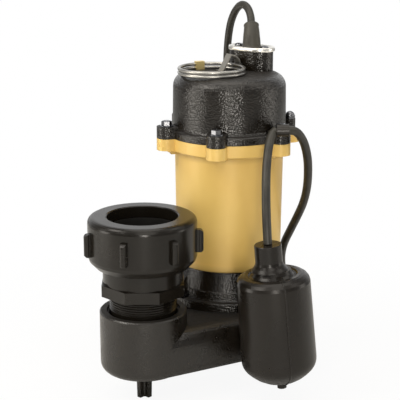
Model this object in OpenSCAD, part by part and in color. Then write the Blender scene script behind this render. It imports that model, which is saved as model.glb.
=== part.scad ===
// Submersible sump pump with a side discharge and a tethered float switch.
// The Z axis is the axis of the discharge pipe, and Z = 0 is the floor under the feet.
// The motor stands beside it on +X. All sizes are in millimetres.

/* [Discharge] */
// Distance from the discharge axis to the motor shaft
motor_x = 118; // [116:1:122]
// Outer radius of the riser that takes the pipe adapter
riser_r = 39.7; // [38:0.1:41]
// Height of the riser's rim above the floor
riser_top = 85; // [82:1:88]
// Inside radius of the socket for a nominal 2 inch pipe
pipe_r = 30.4; // [30.2:0.1:31]
// Radius of the adapter's lower pipe thread
thread_r = 30.1; // [29.8:0.1:30.3]
// Outer radius of the union nut without its wings
nut_r = 49; // [48:0.5:51]
// Number of wings round the union nut
nut_wings = 7; // [5:1:9]

/* [Pump base] */
// Height of the volute's underside above the floor
base_z = 27; // [25:1:30]
// Height of the volute's deck
deck_z = 70; // [68:1:72]
// Largest radius of the volute, where it runs into the duct
volute_r = 77.6; // [76:0.2:79]
// How much the volute's radius shrinks in one full turn
volute_fall = 20; // [16:1:22]
// Radius of the rounded shoulder along the deck
shoulder_r = 16; // [12:1:17]
// Radius of the rounded lower edge
lower_edge_r = 10; // [6:1:11]
// Number of impeller vanes
vanes = 7; // [5:1:9]

/* [Motor] */
// Height where the coloured motor housing starts
housing_z = 105.7; // [105:0.1:107]
// Height of the joint between motor housing and cap
joint_z = 228.5; // [226:0.5:230]
// Outer radius of the motor housing at its foot
housing_r = 50; // [49.5:0.1:50.5]
// Bolt circle radius of the six flange lugs
lug_circle_r = 61.7; // [61:0.1:62.5]
// Radius of a flange lug
lug_r = 9.3; // [8.5:0.1:9.6]
// Outer radius of the cap
cap_r = 53.5; // [53:0.1:54]
// Height of the cap's flat top
cap_top = 286.8; // [285:0.1:288]

/* [Handle] */
// Mean radius of the lifting ring
ring_r = 30.2; // [29:0.1:30.5]
// Thickness of the ring's wire
wire_d = 3.2; // [2.8:0.1:3.4]

/* [Float] */
// Largest radius of the float
float_r = 33.9; // [33:0.1:34]
// Wall thickness of the float
float_wall = 2.4; // [2:0.1:3]

/* [Cords] */
// Diameter of the pump's power cord
power_d = 7.4; // [7:0.1:7.5]
// Diameter of the float switch's cord
switch_d = 8; // [7.6:0.1:8]
// Turns of the power cord's coil, in three layers
power_turns = 7.8667; // [6.8667:1:7.8667]
// Turns of the switch cord's coil, in three layers
switch_turns = 7.2; // [6.2:1:7.2]

/* [Hidden] */
$fn = 72;
eps = 0.01;

// Finishes
black_plastic = [0.10, 0.10, 0.09];
black_enamel = [0.14, 0.13, 0.12];
gold_enamel = [0.88, 0.70, 0.36];
rubber = [0.23, 0.22, 0.19];
steel = [0.72, 0.72, 0.70];
brass = [0.78, 0.66, 0.36];
copper = [0.72, 0.42, 0.24];
clear_air = 0.3;  // gap between faces of pieces that move past each other

// Directions in plan. The duct leaves the volute along duct_a, square to its outer wall's normal.
duct_lean = asin((volute_r - riser_r + 0.4) / motor_x);
wall_a = 270 - duct_lean;
duct_len = motor_x * cos(duct_lean);
tether_a = 222;  // the way the float hangs out from the motor
lug_angles = [30, 90, 150, 210, 270];
acorn_a = 330;

// Wall thicknesses and inner levels of the pump base
wall = 4.5;
floor_z = base_z + 5;
roof_z = deck_z - 13;
chamber_r = 50;
eye_r = 21;
duct_w = 27;
riser_edge_r = lower_edge_r - 0.6;
feet = [[0, 0], [motor_x + 46, -46], [motor_x + 46, 46]];
foot_r = 8.5;
flange_z = deck_z + 0.7;
flange_top = flange_z + 8;
flange_r = 61;
spot_z = flange_top - 1.1;  // where the volute bolts' heads seat
volute_bolt_r = 56;
volute_bolt_angles = [82, 172, 262, 352];

// Motor levels
bracket_z = joint_z - 5.5;
cap_z = joint_z + 0.6;
lug_top = cap_z + 10.4;
bore_r = 46;       // inside radius of the motor housing
stack_z = 128;     // underside of the stator stack
stack_h = 75;
stator_bore_r = 26;
rotor_r = stator_bore_r - 0.4;
slots = 24;
shaft_r = 7.5;
bearing_r = 17.5;
bearing_w = 11;
lower_bearing_z = 94;
upper_bearing_z = joint_z + 1;
stub_r = 6.35;

// Cord tower on the cap, an oval along Y
tower_x = 32;
tower_r = 12.9;
tower_half = 9.8;
tower_top = 305.2;
plate_z = tower_top + 0.6;
plate_h = 2.8;
plate_r = 13.7;
plate_half = 10;
screw_y = 15.8;

// Lifting ring, lying on the cap
ring_x = -17.6;
ring_y = 6.7;
ring_z = cap_top + 0.15 + wire_d / 2;
ring_step = wire_d + 0.3;

// Discharge stack
collar_z = 101.6;
collar_top = 112.1;
collar_half = 36.7;  // half the octagon's width across its flats
nut_z = 127;
nut_h = 45.6;
wing_a = 103;

// Cable clamp beside the lug at 270 degrees, its loop along the cord
clamp_at = [motor_x - 10.5, -72.5, 243.2];
clamp_w = 11;
clamp_turn = tether_a + 90;  // the cord's direction through the clamp

// Float, hung 4.8 degrees off plumb
float_at = [motor_x - 58.2, -95.3, 151.8];
float_tilt = 4.8;
float_off = [1.74, -1.93, 0];  // from the neck's axis to the shell's
seam_a = 236.4;

// Cord routes, from one end to the other
relief_base = [motor_x + tower_x, 0, plate_z + plate_h];
relief_path = [
  relief_base, [150.1, 0.1, 313], [150.5, 0.6, 317.5], [151.4, 1.4, 321.5], [152.5, 2.5, 325], [154, 4, 328]
];
relief_end = unit([3.2, 3.2, 5.8]);
power_route = [
  [154, 4, 328], [157.4, 7.4, 333.8], [161, 12.8, 339.9], [164.2, 19.5, 343.7], [166.6, 26.5, 344.3],
  [169, 33.5, 341], [171, 40, 334.5], [172.6, 45.5, 325], [173.6, 49, 313], [174.2, 51, 300], [174.5, 52, 285],
  [174.5, 52.5, 268], [174.5, 53, 250], [174.5, 53, 232], [174.5, 53, 214], [174.5, 53, 196], [174.5, 53, 178],
  [174.5, 53.5, 160], [174.5, 54, 142], [174.5, 55, 124], [174.5, 56, 106], [174.5, 57.5, 88],
  [174.8, 59.3, 72], [175.3, 61, 58], [176.2, 62.6, 45.7], [177.4, 65.2, 31.3], [179.4, 72, 18.7],
  [181.3, 83, 9.3], [182.8, 95.2, 4.6], [183.4, 107.6, 3.7]
];
tether_route = [
  [103.5, -68, 243.2], [99.6, -67, 240.4], [93.5, -69, 234.8], [86, -73, 226.5], [77.5, -78.5, 214.5],
  [70.3, -84, 200], [65, -88.8, 183], [61.6, -92.6, 166.6], [59.8, -95.3, 151.8]
];
switch_route = [
  [104.2, -68.8, 243.2], [111.5, -77, 243.2], [118.7, -80.3, 240.4], [128.5, -80.6, 229.8], [138.3, -77.8, 213.2],
  [147.5, -72, 194.4], [155.8, -64.5, 177.1], [163.5, -55, 161], [170.8, -43, 144.4], [177.5, -29.5, 126],
  [184.2, -16.8, 108], [191.6, -8, 90], [200.5, -3, 72], [211.5, 1.5, 54], [225, 5.7, 37], [239, 10.3, 22],
  [252.5, 15.8, 11], [263.5, 22, 5.5], [272.05, 28.8, 4]
];

// Coils: where the first turn starts, gap between turns, mean radii, and how high a plug's cord
// leaves above the turns that it lies on
power_start_a = 0;
switch_start_a = 312;
coil_gap = 0.55;
power_mean_r = 39;
switch_mean_r = 42;
plug_rise = 7.4;
loop_rings = 24;
loop_sides = 6;
tube_sides = 8;

// ---------- geometry helpers ----------

function unit(v) = v / norm(v);
function polar(r, a) = r * [cos(a), sin(a)];
function arc(c, r, a0, a1, n = 5) = [for (i = [0 : n]) c + polar(r, a0 + (a1 - a0) * i / n)];
function flat_len(p) = len(p) < 2 ? 0 : norm(p[1] - p[0]) + flat_len([for (i = [1 : len(p) - 1]) p[i]]);
function path_len(p) = [for (i = 0, s = 0; i < len(p); s = s + (i + 1 < len(p) ? norm(p[i + 1] - p[i]) : 0), i = i + 1) s][len(p) - 1];

// The direction of travel at each point of a path
function headings(p) = [
  for (i = [0 : len(p) - 1]) unit(p[min(i + 1, len(p) - 1)] - p[max(i - 1, 0)])
];

// A side direction at each point, carried along without twist
function sides_of(t, seed) = [
  for (i = 0, n = unit(cross(cross(t[0], seed), t[0])); i < len(t);
       i = i + 1, n = i < len(t) ? unit(n - (n * t[i]) * t[i]) : n) n
];

// Faces of a tube of rings, with its two ends closed
function tube_faces(rings, sides) = concat(
  [[for (j = [0 : sides - 1]) j]],
  [for (i = [0 : rings - 2], j = [0 : sides - 1])
    let (a = i * sides + j, b = i * sides + (j + 1) % sides) [a, a + sides, b]],
  [for (i = [0 : rings - 2], j = [0 : sides - 1])
    let (a = i * sides + j, b = i * sides + (j + 1) % sides) [b, a + sides, b + sides]],
  [[for (j = [sides - 1 : -1 : 0]) (rings - 1) * sides + j]]
);

// A round tube of radius r, or of one radius for each point, along a path
module tube(path, r, sides = tube_sides, first = [], last = []) {
  plain = headings(path);
  n = len(path);
  t = [for (i = [0 : n - 1]) i == 0 && len(first) == 3 ? first : i == n - 1 && len(last) == 3 ? last : plain[i]];
  u = sides_of(t, abs(t[0][2]) > 0.9 ? [1, 0, 0] : [0, 0, 1]);
  points = [
    for (i = [0 : n - 1], j = [0 : sides - 1])
      let (a = 360 * (j + 0.5) / sides, rr = is_list(r) ? r[i] : r)
        path[i] + rr * (cos(a) * u[i] + sin(a) * cross(t[i], u[i]))
  ];
  polyhedron(points, tube_faces(n, sides));
}

// A coil in three layers: it spirals in, out and in again, climbing to the next layer where it
// turns back. Its end climbs over the inner turn and leads straight across the top.
function coil_path(at, d, mean_r, start_a, turns) =
  let (
    pitch = d + coil_gap,
    layer = turns / 3,
    outer = mean_r + pitch * layer / 2,
    steps = round(turns * loop_rings),
    last_rise = (d / 2 + plug_rise) / pitch,
    turn = [
      for (i = [0 : steps])
        let (
          u = i * turns / steps,
          v = u > 2 * layer ? u - 2 * layer : min(u, 2 * layer - u),
          rise = climb(u, layer) + climb(u, 2 * layer) + last_rise * climb(u, turns - 0.3),
          xy = at + polar(outer - pitch * v, start_a + 360 * u)
        ) [xy[0], xy[1], d / 2 + pitch * rise]
    ],
    lead = [for (v = [polar(d, start_a + 90)]) turn[0] - [v[0], v[1], 0]],
    tail = [for (v = [polar(d, start_a + 360 * turns + 90)]) turn[steps] + [v[0], v[1], 0]]
  ) concat(lead, turn, tail);

// Share of a climb done by turn u, over the half turn about turn c
function climb(u, c) = min(1, max(0, (u - c + 0.25) / 0.5));

// Centre of the coil that starts where a cord's route ends
function coil_centre(route, d, mean_r, start_a, turns) =
  let (p = route[len(route) - 1])
  [p[0], p[1]] + polar(d, start_a + 90) - polar(mean_r + (d + coil_gap) * turns / 6, start_a);

// Least distance between the cord's own surfaces, over points half a turn or more apart
function coil_clearance(p, d) = min([
  for (i = [0 : len(p) - 1], j = [i + loop_rings / 2 : len(p) - 1]) norm(p[i] - p[j])
]) - d;

module at_motor() {
  translate([motor_x, 0, 0]) children();
}

// Solid of revolution from an outline of radius and height
module revolve(outline) {
  rotate_extrude(convexity = 4) polygon(outline);
}

module ring(outer, inner, z, h) {
  translate([0, 0, z]) difference() {
    cylinder(r = outer, h = h);
    translate([0, 0, -1]) cylinder(r = inner, h = h + 2);
  }
}

// Oval with straight sides along Y
module oval(r, half) {
  translate([0, half]) circle(r = r);
  translate([0, -half]) circle(r = r);
  square([2 * r, 2 * half], center = true);
}

// ---------- pump base ----------

// The volute's radius falls in four arcs, each about its own corner of a small square,
// so that neighbouring arcs meet without a kink
volute_step = volute_fall / 4;
volute_corners = [[1, -1], [1, 1], [-1, 1], [-1, -1]];
function volute_at(a) = volute_r - volute_fall * (a - wall_a) / 360;

// Section of the volute from radius in_r out to out_r, round at the floor edge and at the shoulder
function volute_section(in_r, out_r, steps = 6) = concat(
  [[in_r, base_z]],
  arc([out_r - lower_edge_r, base_z + lower_edge_r], lower_edge_r, -90, 0, steps),
  arc([out_r - shoulder_r, deck_z - shoulder_r], shoulder_r, 0, 90, steps + 2),
  [[in_r, deck_z]]
);

// The volute's outside
module volute_scroll() {
  for (k = [0 : 3]) rotate([0, 0, wall_a])
    translate([volute_corners[k][0] * volute_step / 2, volute_corners[k][1] * volute_step / 2, 0])
      rotate([0, 0, 90 * k]) rotate_extrude(angle = 90, convexity = 4)
        polygon(volute_section(30, volute_r - volute_step * (k + 0.5)));
}

// The duct from the volute's widest place to the riser, in the direction square to the wall
module outlet_duct() {
  inner = volute_section(40, 69, 5);
  rotate([0, 0, wall_a]) translate([0, -volute_step / 2, 0]) rotate([90, 0, 0])
    linear_extrude(height = duct_len - volute_step / 2)
      polygon(concat(
        volute_section(40, volute_r),
        [for (i = [len(inner) - 2 : -1 : 1]) [80 - inner[i][0], inner[i][1]]]
      ));
}

// Plan of the flow passage, the volute's outline moved in by the wall
module passage_plan() {
  polygon([for (i = [0 : 32]) polar(volute_at(wall_a + 10 * i) - wall - 4, wall_a + 10 * i)]);
}

// A foot is a cross of four ribs with a slight draft
module foot() {
  intersection() {
    cylinder(r1 = foot_r - 1, r2 = foot_r, h = base_z + 5, $fn = 48);
    union() {
      for (a = [0, 90]) rotate([0, 0, a]) translate([-foot_r, -2.2, 0]) cube([2 * foot_r, 4.4, base_z + 5]);
      cylinder(r = 4, h = base_z + 5, $fn = 32);
    }
  }
}

module volute_housing() {
  color(black_plastic) difference() {
    union() {
      revolve(concat(
        [[0, base_z]],
        arc([riser_r - riser_edge_r, base_z + riser_edge_r], riser_edge_r, -90, 0, 7),
        [[riser_r, riser_top - 1.2], [riser_r - 1.2, riser_top], [0, riser_top]]
      ));
      at_motor() {
        volute_scroll();
        outlet_duct();
        translate([0, 0, base_z]) cylinder(r = 52, h = deck_z - base_z);
      }
      for (p = feet) translate([p[0], p[1], 0]) foot();
    }
    // thread, counterbore and passage of the riser
    translate([0, 0, 66]) cylinder(r = thread_r + 1.1, h = 30);
    translate([0, 0, riser_top - 2.2]) cylinder(r = thread_r + 3.2, h = 10);
    translate([0, 0, floor_z + 3]) cylinder(r = 28, h = 50);
    at_motor() {
      translate([0, 0, floor_z]) linear_extrude(height = roof_z - floor_z) passage_plan();
      translate([0, 0, floor_z]) cylinder(r = chamber_r, h = 60);
      translate([0, 0, base_z - 1]) cylinder(r = eye_r, h = 10);
      rotate([0, 0, wall_a]) translate([volute_r - wall - 4 - duct_w, -duct_len, floor_z + 1])
        cube([duct_w, duct_len, roof_z - floor_z - 2]);
      for (a = volute_bolt_angles) rotate([0, 0, a]) translate([volute_bolt_r, 0, roof_z + 2])
        cylinder(r = 2.6, h = 30, $fn = 24);
      for (a = [60, 180, 300]) rotate([0, 0, a]) translate([33, 0, base_z - 1])
        cylinder(r = 1.6, h = 5, $fn = 24);
    }
  }
}

// Basket under the suction eye, slotted all round
module suction_strainer() {
  color(black_plastic) at_motor() difference() {
    union() {
      revolve(concat(
        [[0, base_z - 13]],
        arc([34, base_z - 10], 3, -90, 0, 3),
        [[37, base_z - 0.1], [0, base_z - 0.1]]
      ));
    }
    translate([0, 0, base_z - 10.5]) cylinder(r = 28, h = 20);
    for (i = [0 : 23]) rotate([0, 0, 15 * i]) translate([20, -1.3, base_z - 9.2]) cube([30, 2.6, 6.4]);
    for (r = [9, 17]) for (i = [0 : r / 1.5]) rotate([0, 0, 360 * i / floor(r / 1.5 + 1)])
      translate([r, 0, base_z - 20]) cylinder(r = 1.8, h = 20, $fn = 16);
    for (a = [60, 180, 300]) rotate([0, 0, a]) translate([33, 0, base_z - 20]) cylinder(r = 1.7, h = 30, $fn = 24);
  }
}

module strainer_screws() {
  color(steel) at_motor() for (a = [60, 180, 300]) rotate([0, 0, a]) translate([33, 0, base_z - 15.2]) {
    cylinder(r = 3, h = 2.2, $fn = 32);
    cylinder(r = 1.55, h = 17, $fn = 24);
  }
}

module volute_gasket() {
  color(rubber) at_motor() difference() {
    ring(60.5, chamber_r + 0.2, deck_z + 0.02, flange_z - deck_z - 0.04);
    for (a = volute_bolt_angles) rotate([0, 0, a]) translate([volute_bolt_r, 0, deck_z - 1])
      cylinder(r = 2.8, h = 3, $fn = 24);
  }
}

// ---------- seal housing between pump and motor ----------

module seal_housing() {
  color(black_enamel) at_motor() difference() {
    revolve([
      [0, deck_z - 6], [chamber_r - 0.3, deck_z - 6], [chamber_r - 0.3, flange_z], [flange_r, flange_z],
      [flange_r, flange_top - 0.8], [flange_r - 0.8, flange_top], [56.5, flange_top + 0.6],
      [55.3, flange_top + 2], [55, flange_top + 8.4], [54, flange_top + 9.4],
      [47.2, housing_z - 1.6], [47.2, housing_z - 0.8], [bore_r - 0.15, housing_z - 0.8],
      [bore_r - 0.15, housing_z + 7], [0, housing_z + 7]
    ]);
    // motor side: room under the windings, then the bearing seat and the shaft
    translate([0, 0, lower_bearing_z + bearing_w]) cylinder(r1 = bearing_r + 4, r2 = 42, h = 8);
    translate([0, 0, lower_bearing_z]) cylinder(r = bearing_r + 0.02, h = 20);
    translate([0, 0, deck_z - 10]) cylinder(r = shaft_r + 1, h = 60);
    // pump side: seal chamber
    translate([0, 0, deck_z - 10]) cylinder(r = 14, h = 26);
    for (a = volute_bolt_angles) rotate([0, 0, a]) translate([volute_bolt_r, 0, deck_z - 1])
      cylinder(r = 2.8, h = 20, $fn = 24);
    for (a = volute_bolt_angles) rotate([0, 0, a]) translate([volute_bolt_r, 0, spot_z])
      cylinder(r = 6.2, h = 20, $fn = 32);
  }
}

module volute_bolts() {
  color(steel) at_motor() for (a = volute_bolt_angles) rotate([0, 0, a]) translate([volute_bolt_r, 0, 0]) {
    translate([0, 0, spot_z]) cylinder(r = 5.4, h = 4.1, $fn = 6);
    translate([0, 0, roof_z + 3]) cylinder(r = 2.5, h = flange_top - roof_z - 3, $fn = 24);
  }
}

module seal_seat() {
  color("ivory") at_motor() ring(13.95, shaft_r + 0.8, deck_z + 9, 6.9);
}

module seal_head() {
  color([0.25, 0.25, 0.27]) at_motor() {
    ring(11.5, stub_r + 0.01, deck_z + 2.8, 5.9);
    ring(12.6, stub_r + 0.01, deck_z - 7.8, 5);
    for (i = [0 : 3]) ring(11.5, 9.7, deck_z - 2.4 + 1.3 * i, 0.8);
  }
}

// ---------- motor ----------

module lug_bosses(z, h, r, angles) {
  for (a = angles) rotate([0, 0, a]) {
    translate([lug_circle_r, 0, z]) cylinder(r = r, h = h, $fn = 48);
    translate([53, -r, z]) cube([lug_circle_r - 53, 2 * r, h]);
  }
}

module lug_holes(r, z, h) {
  for (a = concat(lug_angles, [acorn_a])) rotate([0, 0, a]) translate([lug_circle_r, 0, z])
    cylinder(r = r, h = h, $fn = 24);
}

module motor_housing() {
  color(gold_enamel) at_motor() difference() {
    union() {
      revolve([
        [0, housing_z], [housing_r - 0.8, housing_z], [housing_r, housing_z + 1.2], [51.4, joint_z - 14],
        [52.2, joint_z - 12.6], [57.5, joint_z - 11], [57.5, joint_z], [0, joint_z]
      ]);
      lug_bosses(joint_z - 11, 11, lug_r, concat(lug_angles, [acorn_a]));
      // deeper pads under the lugs
      for (a = concat(lug_angles, [acorn_a])) rotate([0, 0, a]) translate([0, 0, joint_z - 14.5])
        translate([housing_r - 4, -7.5, 0]) cube([13.5, 15, 5]);
    }
    translate([0, 0, housing_z - 1]) cylinder(r = bore_r, h = 200);
    translate([0, 0, bracket_z]) cylinder(r = 48.1, h = 20);
    lug_holes(3, joint_z - 20, 30);
  }
}

module lower_gasket() {
  color(rubber) at_motor() ring(48.6, bore_r, housing_z - 0.8, 0.8);
}

module cap_gasket() {
  color(rubber) at_motor() difference() {
    union() {
      translate([0, 0, joint_z + 0.02]) cylinder(r = 57, h = cap_z - joint_z - 0.04);
      lug_bosses(joint_z + 0.02, cap_z - joint_z - 0.04, lug_r - 0.6, lug_angles);
    }
    translate([0, 0, joint_z - 1]) cylinder(r = 49.5, h = 4);
    lug_holes(3.3, joint_z - 1, 4);
  }
}

module tower_plan(r) {
  translate([tower_x, 0]) oval(r, tower_half);
}

module motor_cap() {
  crown = 12;
  color(black_enamel) at_motor() difference() {
    union() {
      revolve(concat(
        [[0, cap_z], [57.5, cap_z], [57.5, cap_z + 5.8], [56.5, cap_z + 6.8], [cap_r + 1, cap_z + 7.6]],
        [[cap_r, cap_z + 9.5]],
        arc([cap_r - 0.6 - crown, cap_top - crown], crown, 0, 90, 8),
        [[0, cap_top]]
      ));
      lug_bosses(cap_z, lug_top - cap_z, lug_r, lug_angles);
      rotate([0, 0, acorn_a]) translate([lug_circle_r, 0, cap_z]) cylinder(r = 5.4, h = lug_top - cap_z);
      rotate([0, 0, acorn_a]) translate([53, -5.4, cap_z]) cube([lug_circle_r - 53, 10.8, 6]);
      translate([0, 0, cap_top - 14]) linear_extrude(height = tower_top - cap_top + 14) tower_plan(tower_r);
    }
    // room for the capacitor and the leads
    revolve([[0, cap_z - 1], [49, cap_z - 1], [49, cap_top - 13], [41, cap_top - 5.3], [0, cap_top - 5.3]]);
    translate([tower_x, 0, cap_top - 20]) cylinder(r = 8, h = 60);
    for (s = [-1, 1]) translate([tower_x, s * screw_y, tower_top - 12]) cylinder(r = 2.1, h = 30, $fn = 24);
    lug_holes(3.3, cap_z - 1, 30);
  }
}

module cap_bolts() {
  color(steel) at_motor() for (a = lug_angles) rotate([0, 0, a]) translate([lug_circle_r, 0, 0]) {
    lift = a == 270 ? 1.6 : 0;
    translate([0, 0, lug_top + lift]) cylinder(r = 4.7, h = 3.6, $fn = 6);
    translate([0, 0, joint_z - 10]) cylinder(r = 2.95, h = lug_top - joint_z + 10 + lift, $fn = 24);
  }
}

module acorn_nut() {
  color(steel) at_motor() rotate([0, 0, acorn_a]) translate([lug_circle_r, 0, 0]) {
    translate([0, 0, lug_top]) cylinder(r = 5.4, h = 3, $fn = 6);
    translate([0, 0, lug_top + 2.6]) intersection() {
      sphere(r = 4.6, $fn = 32);
      cylinder(r = 6, h = 8);
    }
    translate([0, 0, joint_z - 10]) cylinder(r = 2.95, h = lug_top - joint_z + 10.5, $fn = 24);
  }
}

module stator_core() {
  color([0.45, 0.46, 0.47]) at_motor() difference() {
    ring(bore_r - 0.05, stator_bore_r, stack_z, stack_h);
    for (i = [0 : slots - 1]) rotate([0, 0, 360 * i / slots]) {
      translate([stator_bore_r + 2, -1.9, stack_z - 1]) cube([11, 3.8, stack_h + 2]);
      translate([stator_bore_r - 1, -0.8, stack_z - 1]) cube([5, 1.6, stack_h + 2]);
    }
  }
}

// The wound coils: a bar in each slot, and a lapped ring of end turns over each face
module stator_windings() {
  color(copper) at_motor() {
    for (z = [stack_z - 15, stack_z + stack_h]) translate([0, 0, z]) difference() {
      revolve(concat(
        [[28, 0]], arc([37, 4], 4, -90, 0, 3), arc([37, 11], 4, 0, 90, 3), [[28, 15]]
      ));
      for (i = [0 : 3]) rotate([0, 0, 90 * i + 45]) translate([24, -0.6, z > 150 ? 8 : -1]) cube([20, 1.2, 8]);
    }
    for (i = [0 : slots - 1]) rotate([0, 0, 360 * i / slots]) translate([stator_bore_r + 3, -1.6, stack_z - 0.5])
      cube([9.5, 3.2, stack_h + 1]);
  }
}

// Ball bearing with shields, its bore running on the shaft
module ball_bearing(z) {
  ring(bearing_r, 14.6, z, bearing_w);
  ring(14.6, 10.6, z + 1, bearing_w - 2);
  ring(10.6, shaft_r + 0.03, z, bearing_w);
}

module lower_bearing() {
  color(steel) at_motor() ball_bearing(lower_bearing_z);
}

module upper_bearing() {
  color(steel) at_motor() ball_bearing(upper_bearing_z);
}

module bearing_bracket() {
  color([0.62, 0.63, 0.64]) at_motor() difference() {
    union() {
      ring(48, 15, bracket_z, joint_z - bracket_z - 0.05);
      ring(21.5, 12, bracket_z, 18.5);
      for (i = [0 : 5]) rotate([0, 0, 60 * i]) translate([18, -1.5, bracket_z]) cube([26, 3, 9]);
    }
    for (i = [0 : 5]) rotate([0, 0, 60 * i + 30]) translate([34, 0, bracket_z - 1]) cylinder(r = 8.5, h = 10);
    translate([0, 0, upper_bearing_z]) cylinder(r = bearing_r + 0.02, h = 20);
    translate([0, 0, bracket_z - 5]) cylinder(r = 10.5, h = 30);
  }
}

module run_capacitor() {
  color([0.16, 0.16, 0.17]) at_motor() translate([0, -33, 262.5]) rotate([-90, 0, 0]) {
    cylinder(r = 16.5, h = 62);
    translate([0, 0, 62]) ring(15.5, 12, 0, 1.2);
    for (s = [-1, 1]) translate([6 * s - 0.4, -3, 62]) cube([0.8, 6, 4]);
  }
}

// ---------- rotor ----------

module motor_shaft() {
  color(steel) at_motor() {
    translate([0, 0, stack_z - 40]) cylinder(r = shaft_r, h = upper_bearing_z + bearing_w + 1 - stack_z + 40);
    translate([0, 0, 37]) cylinder(r = stub_r - 0.01, h = stack_z - 76);
  }
}

module rotor_core() {
  color([0.40, 0.41, 0.42]) at_motor() difference() {
    ring(rotor_r, shaft_r, stack_z, stack_h);
    for (i = [0 : 17]) rotate([0, 0, 20 * i]) translate([rotor_r - 3, 0, stack_z - 1])
      cylinder(r = 1.5, h = stack_h + 2, $fn = 16);
  }
}

// Cast cage: bars through the core and a finned ring on each face
module rotor_end_rings() {
  color([0.75, 0.76, 0.77]) at_motor() {
    for (z = [stack_z - 7, stack_z + stack_h]) {
      ring(rotor_r - 0.6, 17, z, 7);
      for (i = [0 : 5]) rotate([0, 0, 60 * i]) translate([18, -1, z > 150 ? z + 6.9 : z - 4.9])
        cube([6, 2, 5]);
    }
    for (i = [0 : 17]) rotate([0, 0, 20 * i]) translate([rotor_r - 3, 0, stack_z - 0.5])
      cylinder(r = 1.45, h = stack_h + 1, $fn = 16);
  }
}

// One vane in plan, curved back from the hub to the rim
module vane_plan() {
  polygon(concat(
    [for (i = [0 : 6]) polar(11 + 4.8 * i, 11 * i)],
    [for (i = [6 : -1 : 0]) polar(11 + 4.8 * i, 11 * i + 160 / (11 + 4.8 * i))]
  ));
}

module impeller() {
  color([0.20, 0.20, 0.22]) at_motor() difference() {
    union() {
      translate([0, 0, 54]) cylinder(r = 40.5, h = 3);
      revolve([[0, 42], [8, 42], [12, 54.1], [11.5, 58], [11, 61], [0, 61]]);
      for (i = [0 : vanes - 1]) rotate([0, 0, 360 * i / vanes]) translate([0, 0, 42])
        linear_extrude(height = 12.2) vane_plan();
    }
    translate([0, 0, 30]) cylinder(r = stub_r, h = 40);
  }
}

module impeller_nut() {
  color(brass) at_motor() difference() {
    translate([0, 0, 37]) union() {
      cylinder(r = 8.6, h = 5, $fn = 6);
    }
    translate([0, 0, 30]) cylinder(r = stub_r, h = 20);
  }
}

// ---------- cord entry and handle ----------

module cord_plate() {
  color([0.80, 0.80, 0.78]) at_motor() difference() {
    union() {
      translate([tower_x, 0, plate_z]) linear_extrude(height = plate_h - 0.7) oval(plate_r, plate_half);
      translate([tower_x, 0, plate_z + plate_h - 0.71]) linear_extrude(height = 0.71) oval(plate_r - 0.7, plate_half);
    }
    translate([tower_x, 0, plate_z - 1]) cylinder(r = 7, h = 10);
    for (s = [-1, 1]) translate([tower_x, s * screw_y, plate_z - 1]) cylinder(r = 2.3, h = 10, $fn = 24);
  }
}

module plate_gasket() {
  color(rubber) at_motor() difference() {
    translate([tower_x, 0, tower_top]) linear_extrude(height = plate_z - tower_top) oval(tower_r - 0.2, tower_half);
    translate([tower_x, 0, tower_top - 1]) cylinder(r = 8, h = 10);
    for (s = [-1, 1]) translate([tower_x, s * screw_y, tower_top - 1]) cylinder(r = 2.3, h = 10, $fn = 24);
  }
}

module plate_screws() {
  color(steel) at_motor() for (s = [-1, 1]) translate([tower_x, s * screw_y, plate_z + plate_h]) difference() {
    union() {
      revolve([[0, 0], [4, 0], [4, 1.3], [3, 2.4], [0, 2.6]]);
      translate([0, 0, -13]) cylinder(r = 2.05, h = 13.1, $fn = 24);
    }
    translate([-0.5, -5, 1.5]) cube([1, 10, 2]);
  }
}

// Moulded sleeve, anchored under the plate, that leans over with the cord
module strain_relief() {
  color(rubber) {
    translate([relief_base[0], relief_base[1], plate_z - 2]) cylinder(r = 6.9, h = plate_h + 2.05);
    tube(relief_path, [8.7, 8.4, 8, 7.6, 7.2, 6.8], 16, [0, 0, 1], relief_end);
  }
}

// Flat strip bent over the ring, from a foot on the cap to the side of the tower
module handle_strap() {
  color(steel) at_motor() translate([-0.5, 9.5, cap_top + 0.05]) rotate([0, 0, -17]) translate([0, 4, 0])
    rotate([90, 0, 0]) linear_extrude(height = 8) polygon([
      [-4, 0], [0.2, 0], [8.3, 14.6], [12.6, 13.6], [16.6, 10.2], [18, 6.5],
      [19.1, 6.5], [17.7, 10.9], [13.1, 14.9], [8, 15.9], [-0.5, 1.2], [-4, 1.2]
    ]);
}

module lifting_ring() {
  color(steel) at_motor() translate([ring_x, ring_y, 0])
    for (z = [ring_z, ring_z + ring_step]) translate([0, 0, z]) rotate_extrude()
      translate([ring_r, 0]) circle(r = wire_d / 2, $fn = 24);
}

module ring_ferrule() {
  color(brass) at_motor() translate([ring_x, ring_y, 0]) rotate([0, 0, 64]) difference() {
    translate([ring_r - wire_d / 2 - 1.2, -4.2, cap_top + 0.1])
      cube([wire_d + 2.4, 8.4, wire_d + ring_step + 1]);
    for (z = [ring_z, ring_z + ring_step]) translate([0, 0, z]) rotate_extrude()
      translate([ring_r, 0]) circle(r = wire_d / 2 + eps, $fn = 24);
  }
}

// ---------- discharge ----------

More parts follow.
